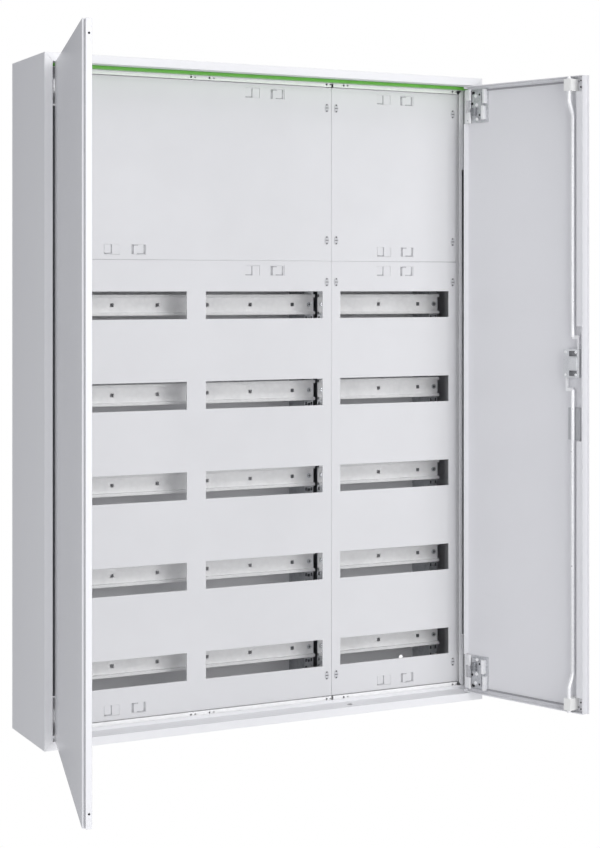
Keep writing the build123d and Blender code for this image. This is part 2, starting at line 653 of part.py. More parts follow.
# Right door: skin with an overlapping lip, folds set back behind the lip.
LOCK_Z = SPINDLE_HEIGHT
TUB_Z = around(SPINDLE_HEIGHT - CATCH_DROP, TUB_HEIGHT / 2)
with BuildPart() as right_door_panel:
    hinge_edge = HINGE_EDGE
    slab(RIGHT_DOOR, (RIGHT_LIP, hinge_edge), (DOOR_FACE, DOOR_INNER), DOOR_Z)
    slab(RIGHT_DOOR, (RIGHT_FREE, hinge_edge), (DOOR_FACE, DOOR_REAR), DOOR_Z)
    hollow = (RIGHT_FREE + SHEET, hinge_edge - SHEET)
    slab(RIGHT_DOOR, hollow, (DOOR_INNER, DOOR_REAR), INNER_Z, Mode.SUBTRACT)
    hinge_notches(RIGHT_DOOR, hinge_edge, -1)
    through = (DOOR_FACE - SHEET, DOOR_INNER + SHEET)
    boss_hole = SPINDLE_RADIUS + SPINDLE_BOSS_WALL + TRAY_FIT
    rod_y(RIGHT_DOOR, ROD_X, through, LOCK_Z, boss_hole, Mode.SUBTRACT)
    tub_hole_x = around(ROD_X, TUB_WIDTH / 2 + TRAY_FIT)
    tub_hole_z = (TUB_Z[0] - TRAY_FIT, TUB_Z[1] + TRAY_FIT)
    slab(RIGHT_DOOR, tub_hole_x, through, tub_hole_z, Mode.SUBTRACT)
right_door_panel.part.label = "right_door_panel"
export_step(right_door_panel.part, "parts/right_door_panel.step")

with BuildPart() as right_door_stile:
    stile = (RIGHT_FREE + SHEET, RIGHT_FREE + SHEET + STILE_WIDTH)
    rack_top = CASE_HALF + ROD_TRAVEL + 1.5 * RACK_LEAD
    slab(RIGHT_DOOR, stile, (DOOR_REAR - SHEET, DOOR_REAR), INNER_Z)
    web = (stile[1] - SHEET, stile[1])
    slab(RIGHT_DOOR, web, (DOOR_INNER, DOOR_REAR), INNER_Z)
    for end in (-1, 1):
        guide_z = (end * (DOOR_TOP - SHEET), end * (GUIDE_FOOT - NOTCH_CLEARANCE))
        notch_x = (stile[0], stile[1] + SHEET)
        slab(RIGHT_DOOR, notch_x, (DOOR_INNER, DOOR_REAR + SHEET), guide_z, Mode.SUBTRACT)
    lock_x = (stile[0] + SHEET, stile[1] + SHEET)
    lock_y = (DOOR_INNER, DOOR_REAR + SHEET)
    notch_top = LOCK_Z + rack_top + ROD_TRAVEL + NOTCH_CLEARANCE
    lock_notch_z = (TUB_Z[0] - NOTCH_CLEARANCE, notch_top)
    slab(RIGHT_DOOR, lock_x, lock_y, lock_notch_z, Mode.SUBTRACT)
right_door_stile.part.label = "right_door_stile"
export_step(right_door_stile.part, "parts/right_door_stile.step")


# ---------------------------------------------------------------- hinges
def hinge_brackets(frame, outward):
    """Frame brackets: a plate on the return, an arm and the two outer knuckles."""
    wall = outward * HINGE_IN
    arm = (-outward * ARM_OFFSET, -outward * (ARM_OFFSET + ARM_SHEET))
    arm_back = ARM_DEPTH - HINGE_BACK
    plate_back = arm_back + BRACKET_DEPTH
    for height in HINGE_HEIGHTS:
        length = around(height, HINGE_LENGTH / 2)
        plate_x = (wall, wall - outward * ARM_SHEET)
        slab(frame, plate_x, (arm_back, plate_back), length)
        slab(frame, (wall, arm[1]), (arm_back, arm_back + ARM_SHEET), length)
        for side in (-1, 1):
            knuckle_z = (
                height + side * (LEAF_KNUCKLE / 2 + KNUCKLE_GAP),
                height + side * HINGE_LENGTH / 2,
            )
            slab(frame, arm, (0, arm_back), knuckle_z)
            rod_z(frame, 0, 0, knuckle_z, KNUCKLE_RADIUS)
            rod_z(frame, 0, 0, knuckle_z, PIN_RADIUS, Mode.SUBTRACT)


def hinge_pins(frame):
    """One pin for each hinge, pressed into the frame knuckles."""
    for height in HINGE_HEIGHTS:
        rod_z(frame, 0, 0, around(height, HINGE_LENGTH / 2), PIN_RADIUS)


def hinge_leaves(frame, inward):
    """Door leaves: a plate inside the skin and the middle knuckle around the pin."""
    for height in HINGE_HEIGHTS:
        leaf_z = around(height, HINGE_LENGTH / 2)
        start = inward * (KNUCKLE_RADIUS + LEAF_GAP)
        leaf_y = (DOOR_INNER, DOOR_INNER + SHEET)
        slab(frame, (start, inward * LEAF_WIDTH), leaf_y, leaf_z)
        knuckle_z = around(height, LEAF_KNUCKLE / 2)
        slab(frame, (0, start), leaf_y, knuckle_z)
        rod_z(frame, 0, 0, knuckle_z, KNUCKLE_RADIUS)
        rod_z(frame, 0, 0, knuckle_z, PIN_RADIUS + PIN_CLEARANCE, Mode.SUBTRACT)


with BuildPart() as left_hinge_brackets:
    hinge_brackets(LEFT_HINGE, -1)
left_hinge_brackets.part.label = "left_hinge_brackets"
export_step(left_hinge_brackets.part, "parts/left_hinge_brackets.step")

with BuildPart() as left_hinge_pins:
    hinge_pins(LEFT_HINGE)
left_hinge_pins.part.label = "left_hinge_pins"
export_step(left_hinge_pins.part, "parts/left_hinge_pins.step")

with BuildPart() as left_hinge_leaves:
    hinge_leaves(LEFT_DOOR, 1)
left_hinge_leaves.part.label = "left_hinge_leaves"
export_step(left_hinge_leaves.part, "parts/left_hinge_leaves.step")

with BuildPart() as right_hinge_brackets:
    hinge_brackets(RIGHT_HINGE, 1)
right_hinge_brackets.part.label = "right_hinge_brackets"
export_step(right_hinge_brackets.part, "parts/right_hinge_brackets.step")

with BuildPart() as right_hinge_pins:
    hinge_pins(RIGHT_HINGE)
right_hinge_pins.part.label = "right_hinge_pins"
export_step(right_hinge_pins.part, "parts/right_hinge_pins.step")

with BuildPart() as right_hinge_leaves:
    hinge_leaves(RIGHT_DOOR, -1)
right_hinge_leaves.part.label = "right_hinge_leaves"
export_step(right_hinge_leaves.part, "parts/right_hinge_leaves.step")

# ---------------------------------------------------------------- rod lock
# Plastic guides hold the rod ends; the rods slide through them.
with BuildPart() as rod_guides:
    for end in (-1, 1):
        guide_z = (end * GUIDE_HEAD, end * GUIDE_FOOT)
        guide_y = (DOOR_INNER, ROD_END_Y + ROD_RADIUS + SHEET)
        slab(RIGHT_DOOR, around(ROD_X, GUIDE_WIDTH / 2), guide_y, guide_z)
        rod_z(RIGHT_DOOR, ROD_X, ROD_END_Y, guide_z, ROD_RADIUS + ROD_CLEARANCE, Mode.SUBTRACT)
rod_guides.part.label = "rod_guides"
export_step(rod_guides.part, "parts/rod_guides.step")

GEAR_Y = around(ROD_Y, GEAR_THICKNESS / 2)
RACK_FACE = PITCH_RADIUS - RACK_ADDENDUM
RACK_OUT = PITCH_RADIUS + RACK_WIDTH
TOOTH_PITCH = pi * TOOTH_MODULE
ROOT_HALF = TOOTH_ROOT_SHARE * TOOTH_PITCH - TOOTH_BACKLASH / 2


def lock_rod(end):
    """One rod: straight end, joggle, long run, crank and the rack beside the pinion."""
    tip = end * (DOOR_TOP - ROD_END_GAP)
    joggle_start = GUIDE_FOOT - ROD_TRAVEL - ROD_JOG_GAP
    joggle_out = end * joggle_start
    joggle_in = end * (joggle_start - ROD_JOG_RUN)
    foot = LOCK_Z + end * (CASE_HALF + ROD_TRAVEL + RACK_LEAD)
    with BuildSketch(Plane(origin=(RIGHT_DOOR * Location((ROD_X, ROD_Y, foot))).position)) as bar:
        Circle(ROD_RADIUS)
    route_points = (
        (ROD_X, ROD_Y, foot),
        (ROD_X, ROD_Y, joggle_in),
        (ROD_X, ROD_END_Y, joggle_out),
        (ROD_X, ROD_END_Y, tip),
    )
    with BuildLine() as route:
        FilletPolyline(
            *[(RIGHT_DOOR * Location(point)).position for point in route_points],
            radius=ROD_BEND_RADIUS,
        )
    sweep(bar.sketch, path=route.line)
    crank_z = (foot - end * RACK_LEAD / 2, foot + end * RACK_LEAD / 2)
    rack_side = -end
    slab(RIGHT_DOOR, (ROD_X + rack_side * RACK_OUT, ROD_X), GEAR_Y, crank_z)
    rack_x = (ROD_X + rack_side * (PITCH_RADIUS + TOOTH_MODULE), ROD_X + rack_side * RACK_OUT)
    rack_z = (crank_z[1], LOCK_Z - end * RACK_RUN)
    slab(RIGHT_DOOR, rack_x, GEAR_Y, rack_z)
    root = PITCH_RADIUS + TOOTH_MODULE
    for index in range(-int(RACK_RUN / TOOTH_PITCH), RACK_TEETH_AHEAD):
        centre = LOCK_Z + end * (index + 0.5) * TOOTH_PITCH
        with BuildSketch(Plane.XY) as tooth:
            with BuildLine():
                Polyline(
                    (root, -ROOT_HALF),
                    (RACK_FACE, -RACK_TIP_SHARE * TOOTH_PITCH),
                    (RACK_FACE, RACK_TIP_SHARE * TOOTH_PITCH),
                    (root, ROOT_HALF),
                    close=True,
                )
            make_face()
        place = RIGHT_DOOR * Location((ROD_X, GEAR_Y[1], centre))
        half_turn = 0 if rack_side > 0 else 180
        side_turn = Location((0, 0, 0), (90, 0, 0)) * Location((0, 0, 0), (0, 0, half_turn))
        cog = extrude(tooth.sketch, amount=GEAR_THICKNESS, mode=Mode.PRIVATE)
        add(place * side_turn * cog)


with BuildPart() as upper_rod:
    lock_rod(1)
upper_rod.part.label = "upper_rod"
export_step(upper_rod.part, "parts/upper_rod.step")

with BuildPart() as lower_rod:
    lock_rod(-1)
lower_rod.part.label = "lower_rod"
export_step(lower_rod.part, "parts/lower_rod.step")

# The lock case covers the pinion; the racks leave through its ends.
with BuildPart() as lock_case:
    case_x = around(ROD_X, CASE_WIDTH / 2)
    case_y = (DOOR_INNER, DOOR_FACE + CASE_BACK)
    slab(RIGHT_DOOR, case_x, case_y, around(LOCK_Z, CASE_HALF))
    hollow_x = around(ROD_X, CASE_WIDTH / 2 - SHEET)
    hollow_y = (DOOR_INNER, case_y[1] - SHEET)
    slab(RIGHT_DOOR, hollow_x, hollow_y, around(LOCK_Z, CASE_HALF - SHEET), Mode.SUBTRACT)
    slot_y = (GEAR_Y[0] - RACK_CLEARANCE, GEAR_Y[1] + RACK_CLEARANCE)
    slot_in = RACK_FACE - RACK_CLEARANCE
    slot_out = RACK_OUT + RACK_CLEARANCE
    for end in (-1, 1):
        slot_x = (ROD_X - end * slot_in, ROD_X - end * slot_out)
        slot_z = (LOCK_Z + end * (CASE_HALF - 2 * SHEET), LOCK_Z + end * (CASE_HALF + SHEET))
        slab(RIGHT_DOOR, slot_x, slot_y, slot_z, Mode.SUBTRACT)
    bore_y = (case_y[1] - 2 * SHEET, case_y[1] + SHEET)
    bore = SPINDLE_RADIUS + SPINDLE_CLEARANCE
    rod_y(RIGHT_DOOR, ROD_X, bore_y, LOCK_Z, bore, Mode.SUBTRACT)
lock_case.part.label = "lock_case"
export_step(lock_case.part, "parts/lock_case.step")

# The tray carries the outer end of the spindle and the finger tub under the handle.
TRAY_Y = (DOOR_FACE - TRAY_THICKNESS, DOOR_FACE)
with BuildPart() as handle_tray:
    tray_z = (LOCK_Z - TRAY_BELOW, LOCK_Z + TRAY_ABOVE)
    slab(RIGHT_DOOR, around(ROD_X, TRAY_WIDTH / 2), TRAY_Y, tray_z)
    tub_wall = SHEET
    slab(
        RIGHT_DOOR,
        around(ROD_X, TUB_WIDTH / 2),
        (DOOR_FACE, DOOR_INNER + TUB_DEPTH),
        TUB_Z,
    )
    tub_y = (TRAY_Y[0], DOOR_INNER + TUB_DEPTH - tub_wall)
    tub_z = (TUB_Z[0] + tub_wall, TUB_Z[1] - tub_wall)
    slab(RIGHT_DOOR, around(ROD_X, TUB_WIDTH / 2 - tub_wall), tub_y, tub_z, Mode.SUBTRACT)
    boss = SPINDLE_RADIUS + SPINDLE_BOSS_WALL
    rod_y(RIGHT_DOOR, ROD_X, (DOOR_FACE, DOOR_INNER), LOCK_Z, boss)
    bore_y = (TRAY_Y[0] - SHEET, DOOR_INNER + SHEET)
    bore = SPINDLE_RADIUS + SPINDLE_CLEARANCE
    rod_y(RIGHT_DOOR, ROD_X, bore_y, LOCK_Z, bore, Mode.SUBTRACT)
handle_tray.part.label = "handle_tray"
export_step(handle_tray.part, "parts/handle_tray.step")

# Spindle with its pinion inside and the handle's pivot head outside.
PIVOT_Y = TRAY_Y[0] - HANDLE_LIFT_GAP - HANDLE_THICKNESS / 2
HEAD_HALF = HANDLE_THICKNESS / 2
with BuildPart() as lock_spindle:
    shaft = (TRAY_Y[0] - HANDLE_LIFT_GAP, DOOR_FACE + CASE_BACK)
    rod_y(RIGHT_DOOR, ROD_X, shaft, LOCK_Z, SPINDLE_RADIUS)
    root_radius = PITCH_RADIUS - PINION_DEDENDUM
    rod_y(RIGHT_DOOR, ROD_X, GEAR_Y, LOCK_Z, root_radius)
    with BuildSketch(Plane.XY) as cog:
        tip_radius = PITCH_RADIUS + PINION_ADDENDUM
        with BuildLine():
            Polyline(
                (root_radius - TOOTH_LAP, -ROOT_HALF),
                (tip_radius, -PINION_TIP_SHARE * TOOTH_PITCH),
                (tip_radius, PINION_TIP_SHARE * TOOTH_PITCH),
                (root_radius - TOOTH_LAP, ROOT_HALF),
                close=True,
            )
        make_face()
    tooth = extrude(cog.sketch, amount=GEAR_THICKNESS, mode=Mode.PRIVATE)
    gear_face = RIGHT_DOOR * Location((ROD_X, GEAR_Y[1], LOCK_Z)) * Location((0, 0, 0), (90, 0, 0))
    for index in range(TEETH):
        add(gear_face * Location((0, 0, 0), (0, 0, index * 360 / TEETH)) * tooth)
    head_y = around(PIVOT_Y, HEAD_HALF)
    slab(RIGHT_DOOR, around(ROD_X, HEAD_WIDTH / 2), head_y, around(LOCK_Z, HEAD_HALF))
    head_x = around(ROD_X, HEAD_WIDTH / 2 + SHEET)
    rod_x(RIGHT_DOOR, head_x, PIVOT_Y, LOCK_Z, PIVOT_RADIUS, Mode.SUBTRACT)
lock_spindle.part.label = "lock_spindle"
export_step(lock_spindle.part, "parts/lock_spindle.step")

with BuildPart() as handle_pivot_pin:
    pin_x = around(ROD_X, HANDLE_WIDTH / 2)
    rod_x(RIGHT_DOOR, pin_x, PIVOT_Y, LOCK_Z, PIVOT_RADIUS)
handle_pivot_pin.part.label = "handle_pivot_pin"
export_step(handle_pivot_pin.part, "parts/handle_pivot_pin.step")

# The swing handle forks round the spindle head and hangs over the tub.
BARREL_Z = LOCK_Z - CATCH_DROP
HANDLE_Y = around(PIVOT_Y, HANDLE_THICKNESS / 2)
with BuildPart() as swing_handle:
    grip_z = (LOCK_Z - HANDLE_LENGTH, LOCK_Z)
    slab(RIGHT_DOOR, around(ROD_X, HANDLE_WIDTH / 2), HANDLE_Y, grip_z)
    fork_x = around(ROD_X, HANDLE_WIDTH / 2)
    rod_x(RIGHT_DOOR, fork_x, PIVOT_Y, LOCK_Z, HANDLE_THICKNESS / 2)
    fork_z = (LOCK_Z - HANDLE_THICKNESS, LOCK_Z + HANDLE_THICKNESS)
    fork_y = (HANDLE_Y[0] - SHEET, HANDLE_Y[1] + SHEET)
    fork_gap = around(ROD_X, HEAD_WIDTH / 2 + FORK_GAP)
    slab(RIGHT_DOOR, fork_gap, fork_y, fork_z, Mode.SUBTRACT)
    bore = PIVOT_RADIUS + PIVOT_CLEARANCE
    rod_x(RIGHT_DOOR, around(ROD_X, HANDLE_WIDTH), PIVOT_Y, LOCK_Z, bore, Mode.SUBTRACT)
    bore = BARREL_RADIUS + BARREL_CLEARANCE
    rod_y(RIGHT_DOOR, ROD_X, fork_y, BARREL_Z, bore, Mode.SUBTRACT)
swing_handle.part.label = "swing_handle"
export_step(swing_handle.part, "parts/swing_handle.step")

with BuildPart() as lock_barrel:
    rod_y(RIGHT_DOOR, ROD_X, HANDLE_Y, BARREL_Z, BARREL_RADIUS)
    keyway_x = around(ROD_X, KEYWAY_WIDTH / 2)
    keyway_y = (HANDLE_Y[0] - KEYWAY_DEPTH, HANDLE_Y[0] + KEYWAY_DEPTH)
    keyway_z = around(BARREL_Z, KEYWAY_HEIGHT / 2)
    slab(RIGHT_DOOR, keyway_x, keyway_y, keyway_z, Mode.SUBTRACT)
lock_barrel.part.label = "lock_barrel"
export_step(lock_barrel.part, "parts/lock_barrel.step")

for name, value in (
    ("cabinet width", WIDTH),
    ("cabinet height", HEIGHT),
    ("left axis x", LEFT_AXIS_X),
    ("right axis x", RIGHT_AXIS_X),
    ("hinge y", HINGE_Y),
    ("rod x from the right axis", ROD_X),
    ("lock height", LOCK_Z),
    ("pivot y from the right axis", PIVOT_Y),
    ("barrel height", BARREL_Z),
    ("rod travel", ROD_TRAVEL),
    ("corner sweep left over", HINGE_IN - hypot(HINGE_EDGE, HINGE_BACK)),
):
    print(f"{name}: {value:.3f}")
print(f"right door direction: {cos(radians(RIGHT_OPEN)):.5f}, {sin(radians(RIGHT_OPEN)):.5f}")
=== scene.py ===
"""Wall-mounted switchboard cabinet, both doors open, in soft studio light."""
import json
from math import pi, radians

import bmesh
import bpy
from mathutils import Matrix, Vector

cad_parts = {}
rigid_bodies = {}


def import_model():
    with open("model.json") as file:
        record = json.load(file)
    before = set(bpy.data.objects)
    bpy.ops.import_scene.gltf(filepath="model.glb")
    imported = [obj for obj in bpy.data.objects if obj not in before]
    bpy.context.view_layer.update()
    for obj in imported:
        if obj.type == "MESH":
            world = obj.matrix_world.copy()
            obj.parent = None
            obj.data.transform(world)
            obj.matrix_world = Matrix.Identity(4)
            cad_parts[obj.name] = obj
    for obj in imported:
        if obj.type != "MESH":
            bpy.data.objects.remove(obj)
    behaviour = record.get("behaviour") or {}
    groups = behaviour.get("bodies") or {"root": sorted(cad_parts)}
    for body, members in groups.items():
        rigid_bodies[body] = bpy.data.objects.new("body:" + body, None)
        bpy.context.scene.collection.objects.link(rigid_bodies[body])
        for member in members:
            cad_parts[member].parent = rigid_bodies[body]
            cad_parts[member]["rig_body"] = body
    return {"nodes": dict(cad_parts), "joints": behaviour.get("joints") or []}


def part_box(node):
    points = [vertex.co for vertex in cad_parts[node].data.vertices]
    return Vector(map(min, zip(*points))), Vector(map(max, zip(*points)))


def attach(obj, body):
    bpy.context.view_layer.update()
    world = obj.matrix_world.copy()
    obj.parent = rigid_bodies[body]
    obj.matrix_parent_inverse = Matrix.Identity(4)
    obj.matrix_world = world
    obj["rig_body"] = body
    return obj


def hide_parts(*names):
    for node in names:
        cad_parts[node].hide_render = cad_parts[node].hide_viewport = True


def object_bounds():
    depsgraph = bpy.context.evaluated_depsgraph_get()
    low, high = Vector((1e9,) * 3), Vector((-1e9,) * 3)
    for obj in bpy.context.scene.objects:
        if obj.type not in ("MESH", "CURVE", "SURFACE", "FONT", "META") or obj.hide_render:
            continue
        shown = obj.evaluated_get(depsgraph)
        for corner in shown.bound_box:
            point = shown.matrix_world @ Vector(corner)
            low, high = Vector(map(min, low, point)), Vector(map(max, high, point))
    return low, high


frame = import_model()
cad_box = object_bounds()

# ---------------------------------------------------------------- studio
# A white sweep, a wide softbox in front, a panel overhead, a small one beside the
# left wall and an even sky. The camera stands a little left of the cabinet's front.
CAMERA_PLACE = (-1.2798, -2.9932, 0.1783)
CAMERA_TURN = 0.4850
LENS = 78.41
SHIFT = (-0.1002, -0.1601)
SENSOR_WIDTH = 36
SKY_STRENGTH = 0.34
FLOOR_SIZE = 40
FLOOR_DROP = 0.35

camera_data = bpy.data.cameras.new("studio_camera")
camera_data.lens = LENS
camera_data.sensor_width = SENSOR_WIDTH
camera_data.shift_x, camera_data.shift_y = SHIFT
camera = bpy.data.objects.new("studio_camera", camera_data)
camera.location = CAMERA_PLACE
camera.rotation_euler = (pi / 2, 0, -CAMERA_TURN)
bpy.context.scene.collection.objects.link(camera)
bpy.context.scene.camera = camera
bpy.context.scene.view_settings.view_transform = "Standard"


def linear(colour):
    """An sRGB hex colour as linear RGBA."""
    channels = [int(colour[i:i + 2], 16) / 255 for i in (1, 3, 5)]
    curved = [c / 12.92 if c <= 0.04045 else ((c + 0.055) / 1.055) ** 2.4 for c in channels]
    return curved + [1]


def shade(tree, kind, inputs=None, **settings):
    """Add one shader node with its settings, values and links."""
    node = tree.nodes.new("ShaderNode" + kind)
    for name, value in settings.items():
        setattr(node, name, value)
    for name, value in (inputs or {}).items():
        if isinstance(value, bpy.types.NodeSocket):
            tree.links.new(value, node.inputs[name])
        else:
            node.inputs[name].default_value = value
    return node


def new_material(name):
    """A node material with an empty tree."""
    made = bpy.data.materials.new(name)
    made.use_nodes = True
    made.node_tree.nodes.clear()
    return made, made.node_tree


def softbox(name, place, aim, size, watts):
    """A rectangular softbox pointed at a spot."""
    data = bpy.data.lights.new(name, "AREA")
    data.shape = "RECTANGLE"
    data.size, data.size_y = size
    data.energy = watts
    lamp = bpy.data.objects.new(name, data)
    lamp.location = place
    lamp.rotation_euler = (Vector(aim) - Vector(place)).to_track_quat("-Z", "Y").to_euler()
    bpy.context.scene.collection.objects.link(lamp)


# The camera sees a pure white backdrop; the cabinet is lit by a sky a third as bright.
world = bpy.data.worlds.new("studio_sky")
world.use_nodes = True
bpy.context.scene.world = world
sky = world.node_tree
sky.nodes.clear()
sky_to_camera = shade(sky, "LightPath").outputs["Is Camera Ray"]
glow = shade(sky, "Background", {"Color": linear("#F6F8FF"), "Strength": SKY_STRENGTH})
backdrop = shade(sky, "Background", {"Color": linear("#FFFFFF"), "Strength": 1.0})
both = shade(sky, "MixShader", {"Fac": sky_to_camera})
sky.links.new(glow.outputs["Background"], both.inputs[1])
sky.links.new(backdrop.outputs["Background"], both.inputs[2])
shade(sky, "OutputWorld", {"Surface": both.outputs["Shader"]})
softbox("front_softbox", (0.7, -5.0, 1.0), (0.0, 0.0, 0.0), (4.0, 3.6), 130)
softbox("top_softbox", (0.2, -1.6, 3.4), (0.0, -0.2, 0.0), (3.0, 2.0), 22)
softbox("side_softbox", (-1.7, -1.5, 0.1), (-0.5, -0.6, 0.0), (0.6, 1.2), 10)

# The floor too is pure white to the camera, and matt paint to every other ray, so
# it bounces light up at the cabinet and shows no shadow.
bpy.ops.mesh.primitive_plane_add(size=FLOOR_SIZE, location=(0, 0, cad_box[0][2] - FLOOR_DROP))
floor = bpy.context.object
floor.name = "studio_floor"
floor_paint, tree = new_material("matt_white_floor")
place = shade(tree, "TexCoord").outputs["Object"]
mottle = shade(tree, "TexNoise", {"Vector": place, "Scale": 1.5})
tint = shade(tree, "MapRange", {"Value": mottle.outputs["Fac"], "To Min": 0.92, "To Max": 0.95})
paint = shade(tree, "BsdfDiffuse", {"Color": tint.outputs["Result"]})
lift = shade(tree, "Emission", {"Color": linear("#FFFFFF"), "Strength": 1.0})
floor_to_camera = shade(tree, "LightPath").outputs["Is Camera Ray"]
sweep = shade(tree, "MixShader", {"Fac": floor_to_camera})
tree.links.new(paint.outputs["BSDF"], sweep.inputs[1])
tree.links.new(lift.outputs["Emission"], sweep.inputs[2])
shade(tree, "OutputMaterial", {"Surface": sweep.outputs["Shader"]})
floor.data.materials.append(floor_paint)

# ---------------------------------------------------------------- folded enclosure
# Four walls and a rear wall of 1.5 mm sheet steel, folded, spot-welded and powder
# coated in traffic white. The fold radii catch a soft highlight along each edge.
MM = 0.001
FOLD_RADIUS = 0.5 * MM
COAT_GRAIN = 1.4 * MM
RETURN_DEPTH = 40 * MM
FLANGE_SHEET = 1.5 * MM
FACE_MARGIN = 0.1 * MM
FACING_FRONT = -0.9


def powder_coat(name, colour, grain=COAT_GRAIN, roughness=0.42, relief=0.12):
    """Powder coat: faint orange peel breaks up the gloss, and the tone drifts a little."""
    made, tree = new_material(name)
    place = shade(tree, "TexCoord").outputs["Object"]
    peel = shade(tree, "TexNoise", {"Vector": place, "Scale": 1 / grain, "Detail": 2.0})
    drift = shade(tree, "TexNoise", {"Vector": place, "Scale": 3.0, "Detail": 3.0})
    base = linear(colour)
    tint = shade(tree, "Mix", {"Factor": drift.outputs["Fac"]}, data_type="RGBA")
    tint.inputs["A"].default_value = [0.98 * c for c in base[:3]] + [1]
    tint.inputs["B"].default_value = [min(1, 1.02 * c) for c in base[:3]] + [1]
    rough = shade(
        tree,
        "MapRange",
        {"Value": peel.outputs["Fac"], "To Min": roughness - 0.04, "To Max": roughness + 0.06},
    )
    bump = shade(
        tree,
        "Bump",
        {"Height": peel.outputs["Fac"], "Strength": relief, "Distance": 0.05 * MM},
    )
    shader = shade(
        tree,
        "BsdfPrincipled",
        {
            "Base Color": tint.outputs["Result"],
            "Roughness": rough.outputs["Result"],
            "Normal": bump.outputs["Normal"],
            "IOR": 1.5,
        },
    )
    shade(tree, "OutputMaterial", {"Surface": shader.outputs["BSDF"]})
    return made


def zinc_steel(name, bright, dull, roughness, flake, metal=0.85):
    """Zinc on steel: crystal flakes shift the tone and the gloss from patch to patch."""
    made, tree = new_material(name)
    place = shade(tree, "TexCoord").outputs["Object"]
    grain = shade(tree, "TexVoronoi", {"Vector": place, "Scale": 1 / flake})
    drift = shade(tree, "TexNoise", {"Vector": place, "Scale": 0.35 / flake, "Detail": 4.0})
    blend = shade(tree, "Math", operation="MULTIPLY")
    tree.links.new(grain.outputs["Distance"], blend.inputs[0])
    tree.links.new(drift.outputs["Fac"], blend.inputs[1])
    tint = shade(tree, "Mix", {"Factor": blend.outputs["Value"]}, data_type="RGBA")
    tint.inputs["A"].default_value = linear(bright)
    tint.inputs["B"].default_value = linear(dull)
    rough = shade(
        tree,
        "MapRange",
        {"Value": drift.outputs["Fac"], "To Min": roughness - 0.08, "To Max": roughness + 0.10},
    )
    bump = shade(
        tree,
        "Bump",
        {"Height": drift.outputs["Fac"], "Strength": 0.04, "Distance": 0.05 * MM},
    )
    shader = shade(
        tree,
        "BsdfPrincipled",
        {
            "Base Color": tint.outputs["Result"],
            "Metallic": metal,
            "Roughness": rough.outputs["Result"],
            "Normal": bump.outputs["Normal"],
        },
    )
    shade(tree, "OutputMaterial", {"Surface": shader.outputs["BSDF"]})
    return made


def settle(work, name, finish, node, stands_for=False):
    """Turn a bmesh in metres into a piece that rides with a node's body."""
    mesh = bpy.data.meshes.new(name)
    work.to_mesh(mesh)
    work.free()
    piece = bpy.data.objects.new(name, mesh)
    bpy.context.scene.collection.objects.link(piece)
    mesh.materials.append(finish)
    mesh.shade_smooth()
    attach(piece, frame["nodes"][node]["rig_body"])
    if stands_for:
        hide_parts(node)
    return piece


def rounded(piece, radius, segments=2):
    """Round a piece's sharp edges, keeping its flats flat."""
    bevel = piece.modifiers.new("edge_radius", "BEVEL")
    bevel.width = radius
    bevel.segments = segments
    bevel.limit_method = "ANGLE"
    bevel.angle_limit = radians(35)
    flats = piece.modifiers.new("flat_faces", "WEIGHTED_NORMAL")
    flats.weight = 100
    flats.keep_sharp = False
    return piece


def merged_copy(node):
    """The node's mesh with its loose triangles joined into flat faces."""
    work = bmesh.new()
    work.from_mesh(frame["nodes"][node].data)
    bmesh.ops.remove_doubles(work, verts=work.verts, dist=0.01 * MM)
    bmesh.ops.dissolve_limit(
        work,
        angle_limit=radians(1),
        use_dissolve_boundaries=False,
        verts=work.verts,
        edges=work.edges,
    )
    return work


def refined(node, radius, finish, segments=2):
    """A piece with the node's own shape and rounded edges, in the node's place."""
    piece = settle(merged_copy(node), node + "_piece", finish, node, stands_for=True)
    return rounded(piece, radius, segments)


def block(work, low, high):
    """Add a box between two corners to a bmesh."""
    centre = [(a + b) / 2 for a, b in zip(low, high)]
    size = [abs(b - a) for a, b in zip(low, high)]
    shape = Matrix.Translation(centre) @ Matrix.Diagonal((*size, 1))
    bmesh.ops.create_cube(work, size=1, matrix=shape)


def drum(work, centre, radius, length, axis="Y", sides=24):
    """Add a closed cylinder along one axis to a bmesh, and return its vertices."""
    turn = {
        "X": Matrix.Rotation(pi / 2, 4, "Y"),
        "Y": Matrix.Rotation(pi / 2, 4, "X"),
        "Z": Matrix.Identity(4),
    }[axis]
    return bmesh.ops.create_cone(
        work,
        cap_ends=True,
        segments=sides,
        radius1=radius,
        radius2=radius,
        depth=length,
        matrix=Matrix.Translation(centre) @ turn,
    )["verts"]


white_coat = powder_coat("powder_coat_traffic_white", "#EEEEF0")
flange_zinc = zinc_steel("galvanised_flange_steel", "#F2F2F3", "#E0E1E3", 0.5, 6 * MM, metal=0.0)
cabinet_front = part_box("left_side_panel")[0].y
flange_front = cabinet_front + RETURN_DEPTH

for node in ("top_panel", "bottom_panel", "rear_wall"):
    refined(node, FOLD_RADIUS, white_coat)
for node in ("left_side_panel", "right_side_panel"):
    panel = refined(node, FOLD_RADIUS, white_coat)
    panel.data.materials.append(flange_zinc)
    for face in panel.data.polygons:
        behind = face.center.y - flange_front
        if -FACE_MARGIN <= behind < FLANGE_SHEET + FACE_MARGIN:
            face.material_index = 1

